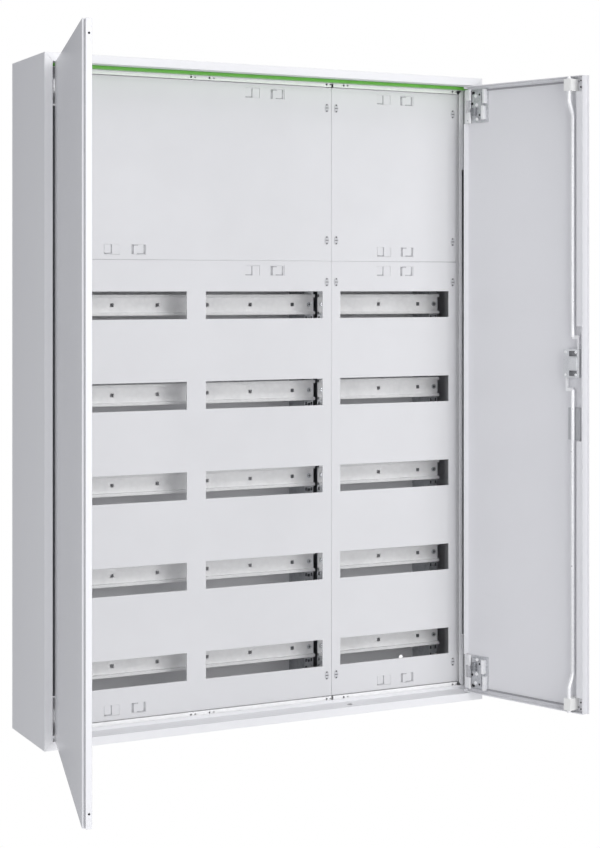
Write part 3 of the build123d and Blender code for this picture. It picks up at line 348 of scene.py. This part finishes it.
# ---------------------------------------------------------------- side profiles
# A galvanised angle closes the gap between the covers and each side flange. It is
# screwed to the flange from behind and shows as a narrow grey band.
PROFILE_FRONT = 48.5 * MM
PROFILE_SHEET = 1.5 * MM
PROFILE_END_GAP = 6 * MM
COVER_GAP = 0.3 * MM
CUT_EDGE_RADIUS = 0.3 * MM
cover_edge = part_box("upper_narrow_cover")[1].x
half_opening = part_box("marking_strip")[1].x
strip_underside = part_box("marking_strip")[0].z
profile_reach = strip_underside - PROFILE_END_GAP
profile_front = cabinet_front + PROFILE_FRONT
for side, node in ((-1, "left_side_panel"), (1, "right_side_panel")):
    profile = bmesh.new()
    block(
        profile,
        (side * (cover_edge + COVER_GAP), profile_front, -profile_reach),
        (side * half_opening, profile_front + PROFILE_SHEET, profile_reach),
    )
    name = node.replace("side_panel", "side_profile")
    rounded(settle(profile, name, flange_zinc, node), CUT_EDGE_RADIUS)

# ---------------------------------------------------------------- cable entry plates
# Flat plates of the same coated sheet, with round knock-outs, close the cable
# entries in the head and the sill.
for node in ("top_cable_plate", "bottom_cable_plate"):
    refined(node, CUT_EDGE_RADIUS, white_coat)

# ---------------------------------------------------------------- frame seals of painted shadow
# Painted shadow: a dark foam strip runs up the corner between each side return and
# its flange, for the shade in that gap. It reads as a thin dark line the whole height
# of the opening.
SHADOW_SEAL_WIDTH = 2.0 * MM
SHADOW_SEAL_PROUD = 4.0 * MM
SHADOW_SEAL_END_GAP = 1 * MM
FOAM_RADIUS = 0.4 * MM
FOAM_PORE = 0.8 * MM


def foam(name, colour):
    """Closed-cell foam: matt, with pores under a millimetre wide."""
    made, tree = new_material(name)
    place = shade(tree, "TexCoord").outputs["Object"]
    pores = shade(tree, "TexVoronoi", {"Vector": place, "Scale": 1 / FOAM_PORE})
    base = linear(colour)
    tint = shade(tree, "Mix", {"Factor": pores.outputs["Distance"]}, data_type="RGBA")
    tint.inputs["A"].default_value = [0.7 * c for c in base[:3]] + [1]
    tint.inputs["B"].default_value = base
    bump = shade(
        tree,
        "Bump",
        {"Height": pores.outputs["Distance"], "Strength": 0.4, "Distance": 0.1 * MM},
    )
    shader = shade(
        tree,
        "BsdfPrincipled",
        {
            "Base Color": tint.outputs["Result"],
            "Roughness": 0.85,
            "Normal": bump.outputs["Normal"],
        },
    )
    shade(tree, "OutputMaterial", {"Surface": shader.outputs["BSDF"]})
    return made


# This dark foam is painted shadow, standing in for the shade in the gaps beside the returns.
gap_shadow_foam = foam("painted_gap_shadow_foam", "#707074")
shadow_seal_height = strip_underside - SHADOW_SEAL_END_GAP
for side, node in ((-1, "left_side_panel"), (1, "right_side_panel")):
    seal = bmesh.new()
    block(
        seal,
        (side * half_opening, flange_front - SHADOW_SEAL_PROUD, -shadow_seal_height),
        (side * (half_opening - SHADOW_SEAL_WIDTH), flange_front, shadow_seal_height),
    )
    rounded(settle(seal, node.replace("panel", "seal"), gap_shadow_foam, node), FOAM_RADIUS)

# Painted shadow: a dark strip on the left return stands behind the hinge edge of the
# left door, for the shade in that gap, and is cut away around each hinge.
SHADOW_LIP_REACH = 9.0 * MM
SHADOW_LIP_BACK = 17.0 * MM
SHADOW_LIP_SHEET = 2 * MM
SHADOW_LIP_BELOW_HINGE = 468 * MM
SHADOW_LIP_ABOVE_HINGE = 531 * MM
lip = bmesh.new()
for low_z, high_z in (
    (-SHADOW_LIP_BELOW_HINGE, SHADOW_LIP_BELOW_HINGE),
    (-shadow_seal_height, -SHADOW_LIP_ABOVE_HINGE),
    (SHADOW_LIP_ABOVE_HINGE, shadow_seal_height),
):
    block(
        lip,
        (-half_opening, cabinet_front + SHADOW_LIP_BACK, low_z),
        (-half_opening + SHADOW_LIP_REACH, cabinet_front + SHADOW_LIP_BACK + SHADOW_LIP_SHEET, high_z),
    )
rounded(settle(lip, "left_return_shadow_strip", gap_shadow_foam, "left_side_panel"), FOAM_RADIUS)

# ---------------------------------------------------------------- marking strip
# An extruded green PVC strip, snapped under the head of the frame. Two fine ribs
# along its front edge catch the light.
RIB_SHARES = (0.3, 0.7)
RIB_HALF = 0.4 * MM
RIB_ROOT = 1 * MM
RIB_END_GAP = 2 * MM


def moulded_plastic(name, colour, roughness=0.38, grain=0.9 * MM):
    """Moulded or extruded plastic: even colour, fine spark-eroded grain."""
    made, tree = new_material(name)
    place = shade(tree, "TexCoord").outputs["Object"]
    fine = shade(tree, "TexNoise", {"Vector": place, "Scale": 1 / grain, "Detail": 3.0})
    drift = shade(tree, "TexNoise", {"Vector": place, "Scale": 12.0})
    base = linear(colour)
    tint = shade(tree, "Mix", {"Factor": drift.outputs["Fac"]}, data_type="RGBA")
    tint.inputs["A"].default_value = [0.94 * c for c in base[:3]] + [1]
    tint.inputs["B"].default_value = base
    bump = shade(
        tree,
        "Bump",
        {"Height": fine.outputs["Fac"], "Strength": 0.12, "Distance": 0.05 * MM},
    )
    rough = shade(
        tree,
        "MapRange",
        {"Value": fine.outputs["Fac"], "To Min": roughness - 0.05, "To Max": roughness + 0.08},
    )
    shader = shade(
        tree,
        "BsdfPrincipled",
        {
            "Base Color": tint.outputs["Result"],
            "Roughness": rough.outputs["Result"],
            "Normal": bump.outputs["Normal"],
            "IOR": 1.46,
        },
    )
    shade(tree, "OutputMaterial", {"Surface": shader.outputs["BSDF"]})
    return made


green_plastic = moulded_plastic("pvc_strip_green", "#6CBE45")
refined("marking_strip", 0.8 * MM, green_plastic, segments=3)
strip_low, strip_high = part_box("marking_strip")
ribs = bmesh.new()
for share in RIB_SHARES:
    z = strip_low.z + share * (strip_high.z - strip_low.z)
    block(
        ribs,
        (strip_low.x + RIB_END_GAP, strip_low.y - RIB_HALF, z - RIB_HALF),
        (strip_high.x - RIB_END_GAP, strip_low.y + RIB_ROOT, z + RIB_HALF),
    )
rounded(settle(ribs, "marking_strip_ribs", green_plastic, "marking_strip"), 0.2 * MM)

# ---------------------------------------------------------------- inner frames and rails
# Roll-formed uprights, head and sill bars and top-hat rails of galvanised sheet.
# The zinc is bright on the rails and duller on the uprights, with a soft spangle.
rail_zinc = zinc_steel("galvanised_rail_steel", "#FFFFFF", "#EDEDEE", 0.5, 9 * MM, metal=0.1)
frame_zinc = zinc_steel("galvanised_frame_steel", "#C9CBCE", "#9FA2A6", 0.40, 7 * MM)
for node in frame["nodes"]:
    if "_rail_" in node:
        refined(node, 0.25 * MM, rail_zinc)
    elif "upright" in node:
        refined(node, 0.3 * MM, frame_zinc)
    elif "crossbars" in node:
        refined(node, 0.3 * MM, rail_zinc)

# Two rows of small punched slots run up the front of every upright.
SLOT_PITCH = 12.5 * MM
SLOT_HALF_WIDTH = 1.5 * MM
SLOT_HALF_HEIGHT = 2.8 * MM
SLOT_SHARES = (0.2, 0.8)
SLOT_PROUD = 0.03 * MM
SLOT_SUNK = 0.2 * MM
slot_shadow = foam("punched_slot_shadow", "#4A4B4E")
for node in [name for name in frame["nodes"] if name.endswith("upright")]:
    low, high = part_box(node)
    punched = bmesh.new()
    for index in range(int((high.z - low.z) / SLOT_PITCH)):
        z = low.z + (index + 0.5) * SLOT_PITCH
        for share in SLOT_SHARES:
            x = low.x + share * (high.x - low.x)
            block(
                punched,
                (x - SLOT_HALF_WIDTH, low.y - SLOT_PROUD, z - SLOT_HALF_HEIGHT),
                (x + SLOT_HALF_WIDTH, low.y + SLOT_SUNK, z + SLOT_HALF_HEIGHT),
            )
    settle(punched, node + "_slots", slot_shadow, node)

# ---------------------------------------------------------------- rail screws
# Zinc-plated pan-head screws with a cross recess hold each rail end.
screw_zinc = zinc_steel("zinc_plated_fixings", "#DADCDF", "#B4B7BB", 0.30, 2 * MM)
CROSS_WIDTH = 1.0 * MM
CROSS_LENGTH = 4.6 * MM
CROSS_PROUD = 0.05 * MM
CROSS_SUNK = 0.5 * MM
SCREW_HEAD_AREA = 40 * MM * MM
black_recess = moulded_plastic("screw_recess_shadow", "#1E1E20", roughness=0.6)
refined("rail_screws", 0.5 * MM, screw_zinc)
screws = merged_copy("rail_screws")
screw_heads = [
    face.calc_center_median()
    for face in screws.faces
    if face.normal.y < FACING_FRONT and face.calc_area() > SCREW_HEAD_AREA
]
screws.free()
crosses = bmesh.new()
for head in screw_heads:
    for wide, tall in ((CROSS_LENGTH, CROSS_WIDTH), (CROSS_WIDTH, CROSS_LENGTH)):
        block(
            crosses,
            (head.x - wide / 2, head.y - CROSS_PROUD, head.z - tall / 2),
            (head.x + wide / 2, head.y + CROSS_SUNK, head.z + tall / 2),
        )
settle(crosses, "rail_screw_recesses", black_recess, "rail_screws")

# ---------------------------------------------------------------- field covers
# Deep-drawn plastic covers, pale grey and matt, with device windows. Each end has
# a pair of finger grips: one saw-tooth and one square tongue in a sunk pocket.
cover_plastic = moulded_plastic("cover_plastic_pale_grey", "#E0E0E2", roughness=0.5)
FIELD = 250 * MM
GRIP_PITCH = 46 * MM
GRIP_IN = 16.5 * MM
GRIP_HALF_WIDTH = 13 * MM
GRIP_HALF_HEIGHT = 8.5 * MM
GRIP_DEPTH = 1.2 * MM
GRIP_END_GAP = 0.6 * MM
RAMP_FALL = 0.9 * GRIP_DEPTH
TONGUE_HALF = 8.5 * MM
TONGUE_SUNK = 0.1 * MM
SLIT = 3.2 * MM
SLIT_END_GAP = 0.8 * MM
SLIT_BACK = GRIP_DEPTH + 0.1 * MM
BAR_PROUD = 0.05 * MM
BAR_SUNK = 0.3 * MM
# The grey of the grip slits and bars is painted shade.
grip_shade_grey = moulded_plastic("grip_slit_shade", "#C0C0C3", roughness=0.6)
for node in [name for name in frame["nodes"] if name.endswith("_cover")]:
    refined(node, 0.5 * MM, cover_plastic, segments=3)
    low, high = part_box(node)
    grips = bmesh.new()
    slits = bmesh.new()
    ends = (
        (low.z + GRIP_IN, low.x + FIELD / 2),
        (high.z - GRIP_IN, high.x - FIELD / 2),
    )
    for z, x in ends:
        left = x - GRIP_PITCH / 2
        right = x + GRIP_PITCH / 2
        half_height = GRIP_HALF_HEIGHT - GRIP_END_GAP
        # Saw-tooth: a ramp falls to the middle, then a step rises to a second ramp.
        for start, stop in ((left - GRIP_HALF_WIDTH, left), (left, left + GRIP_HALF_WIDTH)):
            ramp = bmesh.ops.create_cube(grips, size=1)["verts"]
            for corner in ramp:
                rear = corner.co.y > 0
                far = corner.co.x > 0
                surface = low.y + (RAMP_FALL if far and stop <= left else 0)
                corner.co = (
                    stop if far else start,
                    low.y + GRIP_DEPTH if rear else surface,
                    z + half_height * (1 if corner.co.z > 0 else -1),
                )
        block(
            grips,
            (right - TONGUE_HALF, low.y + TONGUE_SUNK, z - half_height),
            (right + TONGUE_HALF, low.y + GRIP_DEPTH, z + half_height),
        )
        # Painted shade: grey slits stand beside each grip, and short grey bars at its head
        # and foot, where the pocket's walls shade it.
        foot = z - GRIP_HALF_HEIGHT + SLIT_END_GAP
        head = z + GRIP_HALF_HEIGHT - SLIT_END_GAP
        for edge in (left - 0.5 * SLIT, right - TONGUE_HALF - SLIT, right + TONGUE_HALF):
            block(
                slits,
                (edge, low.y + 0.75 * GRIP_DEPTH, foot),
                (edge + SLIT, low.y + SLIT_BACK, head),
            )
        foot_z = (foot, foot + 0.5 * SLIT)
        head_z = (head - 0.5 * SLIT, head)
        for start, stop, span in (
            (left - GRIP_HALF_WIDTH, left, foot_z),
            (right - TONGUE_HALF, right - 1 * MM, head_z),
            (right - 3 * MM, right + TONGUE_HALF, foot_z),
        ):
            block(slits, (start, low.y - BAR_PROUD, span[0]), (stop, low.y + BAR_SUNK, span[1]))
    rounded(settle(grips, node + "_grips", cover_plastic, node), 0.25 * MM)
    settle(slits, node + "_grip_slits", grip_shade_grey, node)

# A thin fin on the upper wide cover's skirt closes the two joints between covers.
FIN_BACK = 0.5 * MM
FIN_SHEET = 1 * MM
wide_low, wide_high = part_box("upper_wide_cover")
narrow_low, narrow_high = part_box("upper_narrow_cover")
fins = bmesh.new()
block(
    fins,
    (wide_low.x, wide_low.y + FIN_BACK, wide_low.z - FIN_SHEET),
    (narrow_high.x, wide_low.y + FIN_BACK + FIN_SHEET, wide_low.z),
)
block(
    fins,
    (wide_high.x, wide_low.y + FIN_BACK, -wide_high.z),
    (narrow_low.x, wide_low.y + FIN_BACK + FIN_SHEET, wide_high.z),
)
settle(fins, "cover_joint_fins", cover_plastic, "upper_wide_cover")

# ---------------------------------------------------------------- cover fasteners
# Quarter-turn plastic fasteners: an oval plate with a slotted button in the middle
# and a stop notch above and below it.
fastener_plastic = moulded_plastic("fastener_plastic_grey", "#C9C9CC", roughness=0.42)
PLATE_HALF_WIDTH = 3.4 * MM
PLATE_HALF_HEIGHT = 7.5 * MM
PLATE_THICKNESS = 0.7 * MM
PLATE_BACK = 0.65 * MM
BUTTON_AREA = 20 * MM * MM
BUTTON_SLOT_HALF_LENGTH = 2.6 * MM
BUTTON_SLOT_HALF_WIDTH = 0.5 * MM
NOTCH_STEP = 5.4 * MM
NOTCH_RADIUS = 1.2 * MM
for node in [name for name in frame["nodes"] if name.endswith("_fasteners")]:
    work = merged_copy(node)
    heads = [
        face.calc_center_median()
        for face in work.faces
        if face.normal.y < FACING_FRONT and face.calc_area() > BUTTON_AREA
    ]
    work.free()
    refined(node, 0.3 * MM, fastener_plastic, segments=2)
    plates = bmesh.new()
    marks = bmesh.new()
    for head in heads:
        # A round plate is pulled apart at its middle into an oval.
        plate = drum(plates, (0, 0, 0), PLATE_HALF_WIDTH, PLATE_THICKNESS)
        for corner in plate:
            corner.co.z += (PLATE_HALF_HEIGHT - PLATE_HALF_WIDTH) * (1 if corner.co.z > 0 else -1)
        bmesh.ops.translate(plates, verts=plate, vec=(head.x, head.y + PLATE_BACK, head.z))
        block(
            marks,
            (head.x - BUTTON_SLOT_HALF_LENGTH, head.y - 0.06 * MM, head.z - BUTTON_SLOT_HALF_WIDTH),
            (head.x + BUTTON_SLOT_HALF_LENGTH, head.y + 0.3 * MM, head.z + BUTTON_SLOT_HALF_WIDTH),
        )
        for side in (-1, 1):
            notch = (head.x, head.y + 0.4 * MM, head.z + side * NOTCH_STEP)
            drum(marks, notch, NOTCH_RADIUS, 0.3 * MM)
    rounded(settle(plates, node + "_plates", fastener_plastic, node), 0.2 * MM)
    settle(marks, node + "_slots", black_recess, node)

# ---------------------------------------------------------------- cover posts
# Threaded polyamide posts clip into the uprights and carry the covers.
refined("cover_posts", 0.4 * MM, moulded_plastic("post_polyamide", "#D8D8D6"))

# ---------------------------------------------------------------- doors
# Shells of 1.5 mm sheet folded on four sides, with a stile up each free edge. Their
# coat is smoother than the enclosure's, and its white is painted a shade greyer as
# painted shade, for the open doors turned away from the front light.
door_coat_greyed_for_shade = powder_coat("powder_coat_door_smooth_greyed_for_shade", "#E3E3E6", roughness=0.24, relief=0.05)
for node in ("left_door_panel", "right_door_panel", "left_door_stile", "right_door_stile"):
    refined(node, FOLD_RADIUS, door_coat_greyed_for_shade)

# A drain hole near each end of the left door's free edge, and two holes near each
# end of the right door's stile, are shown by black discs in the sheet.
DRAIN_DROP = 20 * MM
DRAIN_IN = 4 * MM
DRAIN_RADIUS = 1.6 * MM
DRAIN_DEPTH = 0.8 * MM
STILE_HOLES = ((9 * MM, 1.3 * MM), (20 * MM, 1.6 * MM))
STILE_HOLE_IN = 8 * MM
STILE_HOLE_DEPTH = 0.7 * MM
joint_place = {joint["name"]: joint for joint in frame["joints"]}
left_turn = Matrix.Rotation(-radians(joint_place["left_door_hinge"]["range_deg"][1]), 4, "Z")
right_turn = Matrix.Rotation(-radians(joint_place["right_door_hinge"]["range_deg"][0]), 4, "Z")
left_door = Matrix.Translation(joint_place["left_door_hinge"]["pos_m"]) @ left_turn
right_door = Matrix.Translation(joint_place["right_door_hinge"]["pos_m"]) @ right_turn


def local_box(node, place):
    """A node's corners in the closed-door coordinates of its hinge."""
    back = place.inverted()
    points = [back @ vert.co for vert in frame["nodes"][node].data.vertices]
    low = Vector([min(point[i] for point in points) for i in range(3)])
    high = Vector([max(point[i] for point in points) for i in range(3)])
    return low, high


left_low, left_high = local_box("left_door_panel", left_door)
right_low, right_high = local_box("right_door_panel", right_door)
lock_low, lock_high = local_box("lock_case", right_door)
lock_z = (lock_low.z + lock_high.z) / 2

eyelets = bmesh.new()
for end in (-1, 1):
    hole = (left_high.x - 0.35 * MM, left_high.y - DRAIN_IN, end * (left_high.z - DRAIN_DROP))
    drum(eyelets, hole, DRAIN_RADIUS, DRAIN_DEPTH, "X")
bmesh.ops.transform(eyelets, matrix=left_door, verts=eyelets.verts)
settle(eyelets, "left_door_eyelets", black_recess, "left_door_panel")

eyelets = bmesh.new()
for end in (-1, 1):
    for drop, radius in STILE_HOLES:
        stile_face = right_high.y - 0.3 * MM
        hole = (right_low.x + STILE_HOLE_IN, stile_face, end * (right_high.z - drop))
        drum(eyelets, hole, radius, STILE_HOLE_DEPTH)
bmesh.ops.transform(eyelets, matrix=right_door, verts=eyelets.verts)
settle(eyelets, "right_door_eyelets", black_recess, "right_door_stile")

# ---------------------------------------------------------------- door seals
# A grey foam bead is poured along the top and bottom of each door, just inside the
# folds, and presses on the frame's rim when the door is shut.
BEAD_WIDTH = 3.0 * MM
BEAD_HEIGHT = 2.5 * MM
SKIN = 1.5 * MM
STILE_REACH = 13.5 * MM
BEAD_END_GAP = 4 * MM
BEAD_FROM_FOLD = 7 * MM
# Grey foam for the door beads, and painted shadow for the strip in the left door's lap.
grey_foam_and_shadow = foam("polyurethane_foam_grey_and_painted_shadow", "#A9A9AD")
for side, door, low, high in (
    ("left", left_door, left_low, left_high),
    ("right", right_door, right_low, right_high),
):
    inner_face = low.y + SKIN
    bead = bmesh.new()
    start = low.x + SKIN + (STILE_REACH if side == "right" else 0) + BEAD_END_GAP
    stop = high.x - SKIN - (STILE_REACH if side == "left" else 0) - BEAD_END_GAP
    for end in (-1, 1):
        z = end * (high.z - SKIN - BEAD_FROM_FOLD)
        block(
            bead,
            (start, inner_face, z - BEAD_WIDTH / 2),
            (stop, inner_face + BEAD_HEIGHT, z + BEAD_WIDTH / 2),
        )
    bmesh.ops.transform(bead, matrix=door, verts=bead.verts)
    node = side + "_door_panel"
    rounded(settle(bead, side + "_door_seal", grey_foam_and_shadow, node), 0.9 * MM, segments=3)

# Painted shadow: a thin grey strip in the corner of the left door's lap, the full
# height, for the shade in that step.
LAP_BACK = 4.5 * MM
LAP_SHADOW_THICKNESS = 1.6 * MM
LAP_SHADOW_FAR = 3.8 * MM
LAP_SHADOW_NEAR = 0.6 * MM
LAP_OVERLAP = 0.1 * MM
LAP_END_GAP = 2 * MM
lap = bmesh.new()
block(
    lap,
    (left_high.x - LAP_SHADOW_FAR, left_low.y + LAP_BACK - LAP_SHADOW_THICKNESS, left_low.z + LAP_END_GAP),
    (left_high.x - LAP_SHADOW_NEAR, left_low.y + LAP_BACK + LAP_OVERLAP, left_high.z - LAP_END_GAP),
)
bmesh.ops.transform(lap, matrix=left_door, verts=lap.verts)
rounded(settle(lap, "left_door_lap_shadow_strip", grey_foam_and_shadow, "left_door_panel"), 0.3 * MM)

# ---------------------------------------------------------------- hinges
# Concealed hinges: a zinc-plated bracket screwed to the return, knuckles on a pin,
# and a pressed door plate with a spring drum, clamp screws and two bright hooks.
hinge_zinc = zinc_steel("zinc_plated_hinge_steel", "#D6D7DA", "#8F9196", 0.32, 3 * MM, metal=0.6)
bright_zinc = zinc_steel("bright_zinc_plate", "#FAFAFB", "#E4E5E8", 0.30, 4 * MM, metal=0.3)
drum_zinc = zinc_steel("spring_drum_steel", "#A7A9AD", "#6E7074", 0.35, 2 * MM, metal=0.7)
HINGE_UP = 500 * MM
PLATE_PROUD = 2.6 * MM
HOOK_PROUD = 7.5 * MM
HOOK_ROOT = 1 * MM
SPRING_TURNS = 6
SPRING_PITCH = 2.4 * MM
SPRING_RADIUS = 5.0 * MM
SPRING_GROOVE = 0.9 * MM
SPRING_WIDTH = 2.5 * MM
SPRING_AWAY = 13 * MM
SPRING_START = 5 * MM
HOLE_DEPTH = 0.8 * MM
CLAMP_RADIUS = 3.0 * MM
CLAMP_HEIGHT = 2.4 * MM
# Millimetres from the pin's axis, and from the hinge's middle towards its end.
PRESSING_STEPS = ((6, 31, -26, 27, 0.0), (9, 28, -21, 23, 1.4), (11, 22, 12, 21, 2.6))
HOOK_SPANS = ((33, 38, 3, 28), (30, 35, -25, -1))
PLATE_HOLES = ((10, 22.5, 3.0), (7.5, 4, 2.2), (24, 19, 1.8), (24, -17, 1.8))
CLAMP_SCREWS = ((16, 17), (18, 1), (19, -24))
for side, door, inward in (("left", left_door, 1), ("right", right_door, -1)):
    leaves = side + "_hinge_leaves"
    refined(f"{side}_hinge_brackets", 0.3 * MM, bright_zinc)
    refined(f"{side}_hinge_pins", 0.3 * MM, hinge_zinc)
    refined(leaves, 0.3 * MM, hinge_zinc)
    seat = (left_low if side == "left" else right_low).y + SKIN + SKIN
    plates, hooks, drums, holes, screws = [bmesh.new() for _ in range(5)]
    for end in (-1, 1):
        centre = end * HINGE_UP
        # Raised pressing over the leaf, in three steps.
        for near, far, low_z, high_z, step in PRESSING_STEPS:
            block(
                plates,
                (inward * near * MM, seat, centre + end * low_z * MM),
                (inward * far * MM, seat + PLATE_PROUD + step * MM, centre + end * high_z * MM),
            )
        # Two hooks stand up along the far side of the plate.
        for near, far, low_z, high_z in HOOK_SPANS:
            block(
                hooks,
                (inward * near * MM, seat - HOOK_ROOT, centre + end * low_z * MM),
                (inward * far * MM, seat + HOOK_PROUD, centre + end * high_z * MM),
            )
        # Wound spring on a drum beside the pin: every second turn lies in a groove.
        for turn in range(SPRING_TURNS):
            along = centre - end * (SPRING_START + SPRING_PITCH * turn)
            radius = SPRING_RADIUS - (SPRING_GROOVE if turn % 2 else 0)
            spot = (inward * SPRING_AWAY, seat + PLATE_PROUD + 3 * MM, along)
            drum(drums, spot, radius, SPRING_WIDTH, "Z")
        for away, along, radius in PLATE_HOLES:
            spot = (inward * away * MM, seat + PLATE_PROUD + 1.3 * MM, centre + end * along * MM)
            drum(holes, spot, radius * MM, HOLE_DEPTH)
        for away, along in CLAMP_SCREWS:
            spot = (inward * away * MM, seat + PLATE_PROUD + 2.0 * MM, centre + end * along * MM)
            drum(screws, spot, CLAMP_RADIUS, CLAMP_HEIGHT)
    for work, name, finish in (
        (plates, "plates", hinge_zinc),
        (hooks, "hooks", bright_zinc),
        (drums, "springs", drum_zinc),
        (holes, "holes", black_recess),
        (screws, "screws", bright_zinc),
    ):
        bmesh.ops.transform(work, matrix=door, verts=work.verts)
        piece = settle(work, f"{side}_hinge_{name}", finish, leaves)
        if name in ("plates", "hooks", "screws"):
            rounded(piece, 0.5 * MM)

# ---------------------------------------------------------------- rod lock
# Drawn steel rods, zinc plated, slide in white moulded guides. A die-cast case
# holds the pinion on its spindle, and the racks leave through its ends.
guide_plastic = moulded_plastic("rod_guide_polyamide", "#F4F4F2", roughness=0.35)
cast_zinc = zinc_steel("die_cast_lock_case", "#E2E3E5", "#C2C4C7", 0.38, 2 * MM, metal=0.35)
refined("rod_guides", 0.8 * MM, guide_plastic, segments=3)
for node in ("upper_rod", "lower_rod"):
    refined(node, 0.2 * MM, bright_zinc)
refined("lock_case", 1.0 * MM, cast_zinc, segments=3)

# The case's front carries a raised square boss over the spindle, two sunk grey
# pockets above and below it, and four screws.
pocket_grey = moulded_plastic("case_pocket_shade", "#77787B", roughness=0.5)
BOSS_HALF = 10 * MM
BOSS_PROUD = 3.5 * MM
BOSS_SPAN = (1 * MM, 19 * MM)
POCKET_FROM_BOSS = (2 * MM, 11 * MM)
POCKET_EDGES = (3 * MM, 13 * MM)
CASE_SCREW_IN = 5 * MM
CASE_SCREW_RADIUS = 2.4 * MM
CASE_SCREW_HEIGHT = 1.6 * MM
case_face = lock_high.y
boss, pockets, screws = [bmesh.new() for _ in range(3)]
block(
    boss,
    (lock_low.x + BOSS_SPAN[0], case_face, lock_z - BOSS_HALF),
    (lock_low.x + BOSS_SPAN[1], case_face + BOSS_PROUD, lock_z + BOSS_HALF),
)
for end in (-1, 1):
    near, far = [lock_z + end * (BOSS_HALF + reach) for reach in POCKET_FROM_BOSS]
    block(
        pockets,
        (lock_low.x + POCKET_EDGES[0], case_face - 0.3 * MM, near),
        (lock_high.x - POCKET_EDGES[1], case_face + 0.2 * MM, far),
    )
    screw_z = lock_z + end * (lock_high.z - lock_z - CASE_SCREW_IN)
    for x in (lock_high.x - CASE_SCREW_IN, lock_low.x + CASE_SCREW_IN):
        drum(screws, (x, case_face + 0.4 * MM, screw_z), CASE_SCREW_RADIUS, CASE_SCREW_HEIGHT)
for work, name, finish in (
    (boss, "lock_boss", cast_zinc),
    (pockets, "lock_pockets", pocket_grey),
    (screws, "lock_screws", bright_zinc),
):
    bmesh.ops.transform(work, matrix=right_door, verts=work.verts)
    piece = settle(work, name, finish, "lock_case")
    if name != "lock_pockets":
        rounded(piece, 0.5 * MM)

refined("lock_spindle", 0.2 * MM, cast_zinc)
refined("handle_pivot_pin", 0.2 * MM, screw_zinc)

# ---------------------------------------------------------------- swing handle
# Glass-filled polyamide, moulded in light grey, with a rounded grip. The tray
# under it is set in the door's skin, and the key barrel is turned and zinc plated.
tray_plastic = moulded_plastic("handle_tray_polyamide", "#BDBEC1", roughness=0.42)
grip_plastic = moulded_plastic("handle_grip_polyamide", "#A9AAAE", roughness=0.36)
refined("handle_tray", 0.8 * MM, tray_plastic, segments=3)
refined("swing_handle", 1.8 * MM, grip_plastic, segments=4)
refined("lock_barrel", 0.3 * MM, screw_zinc)
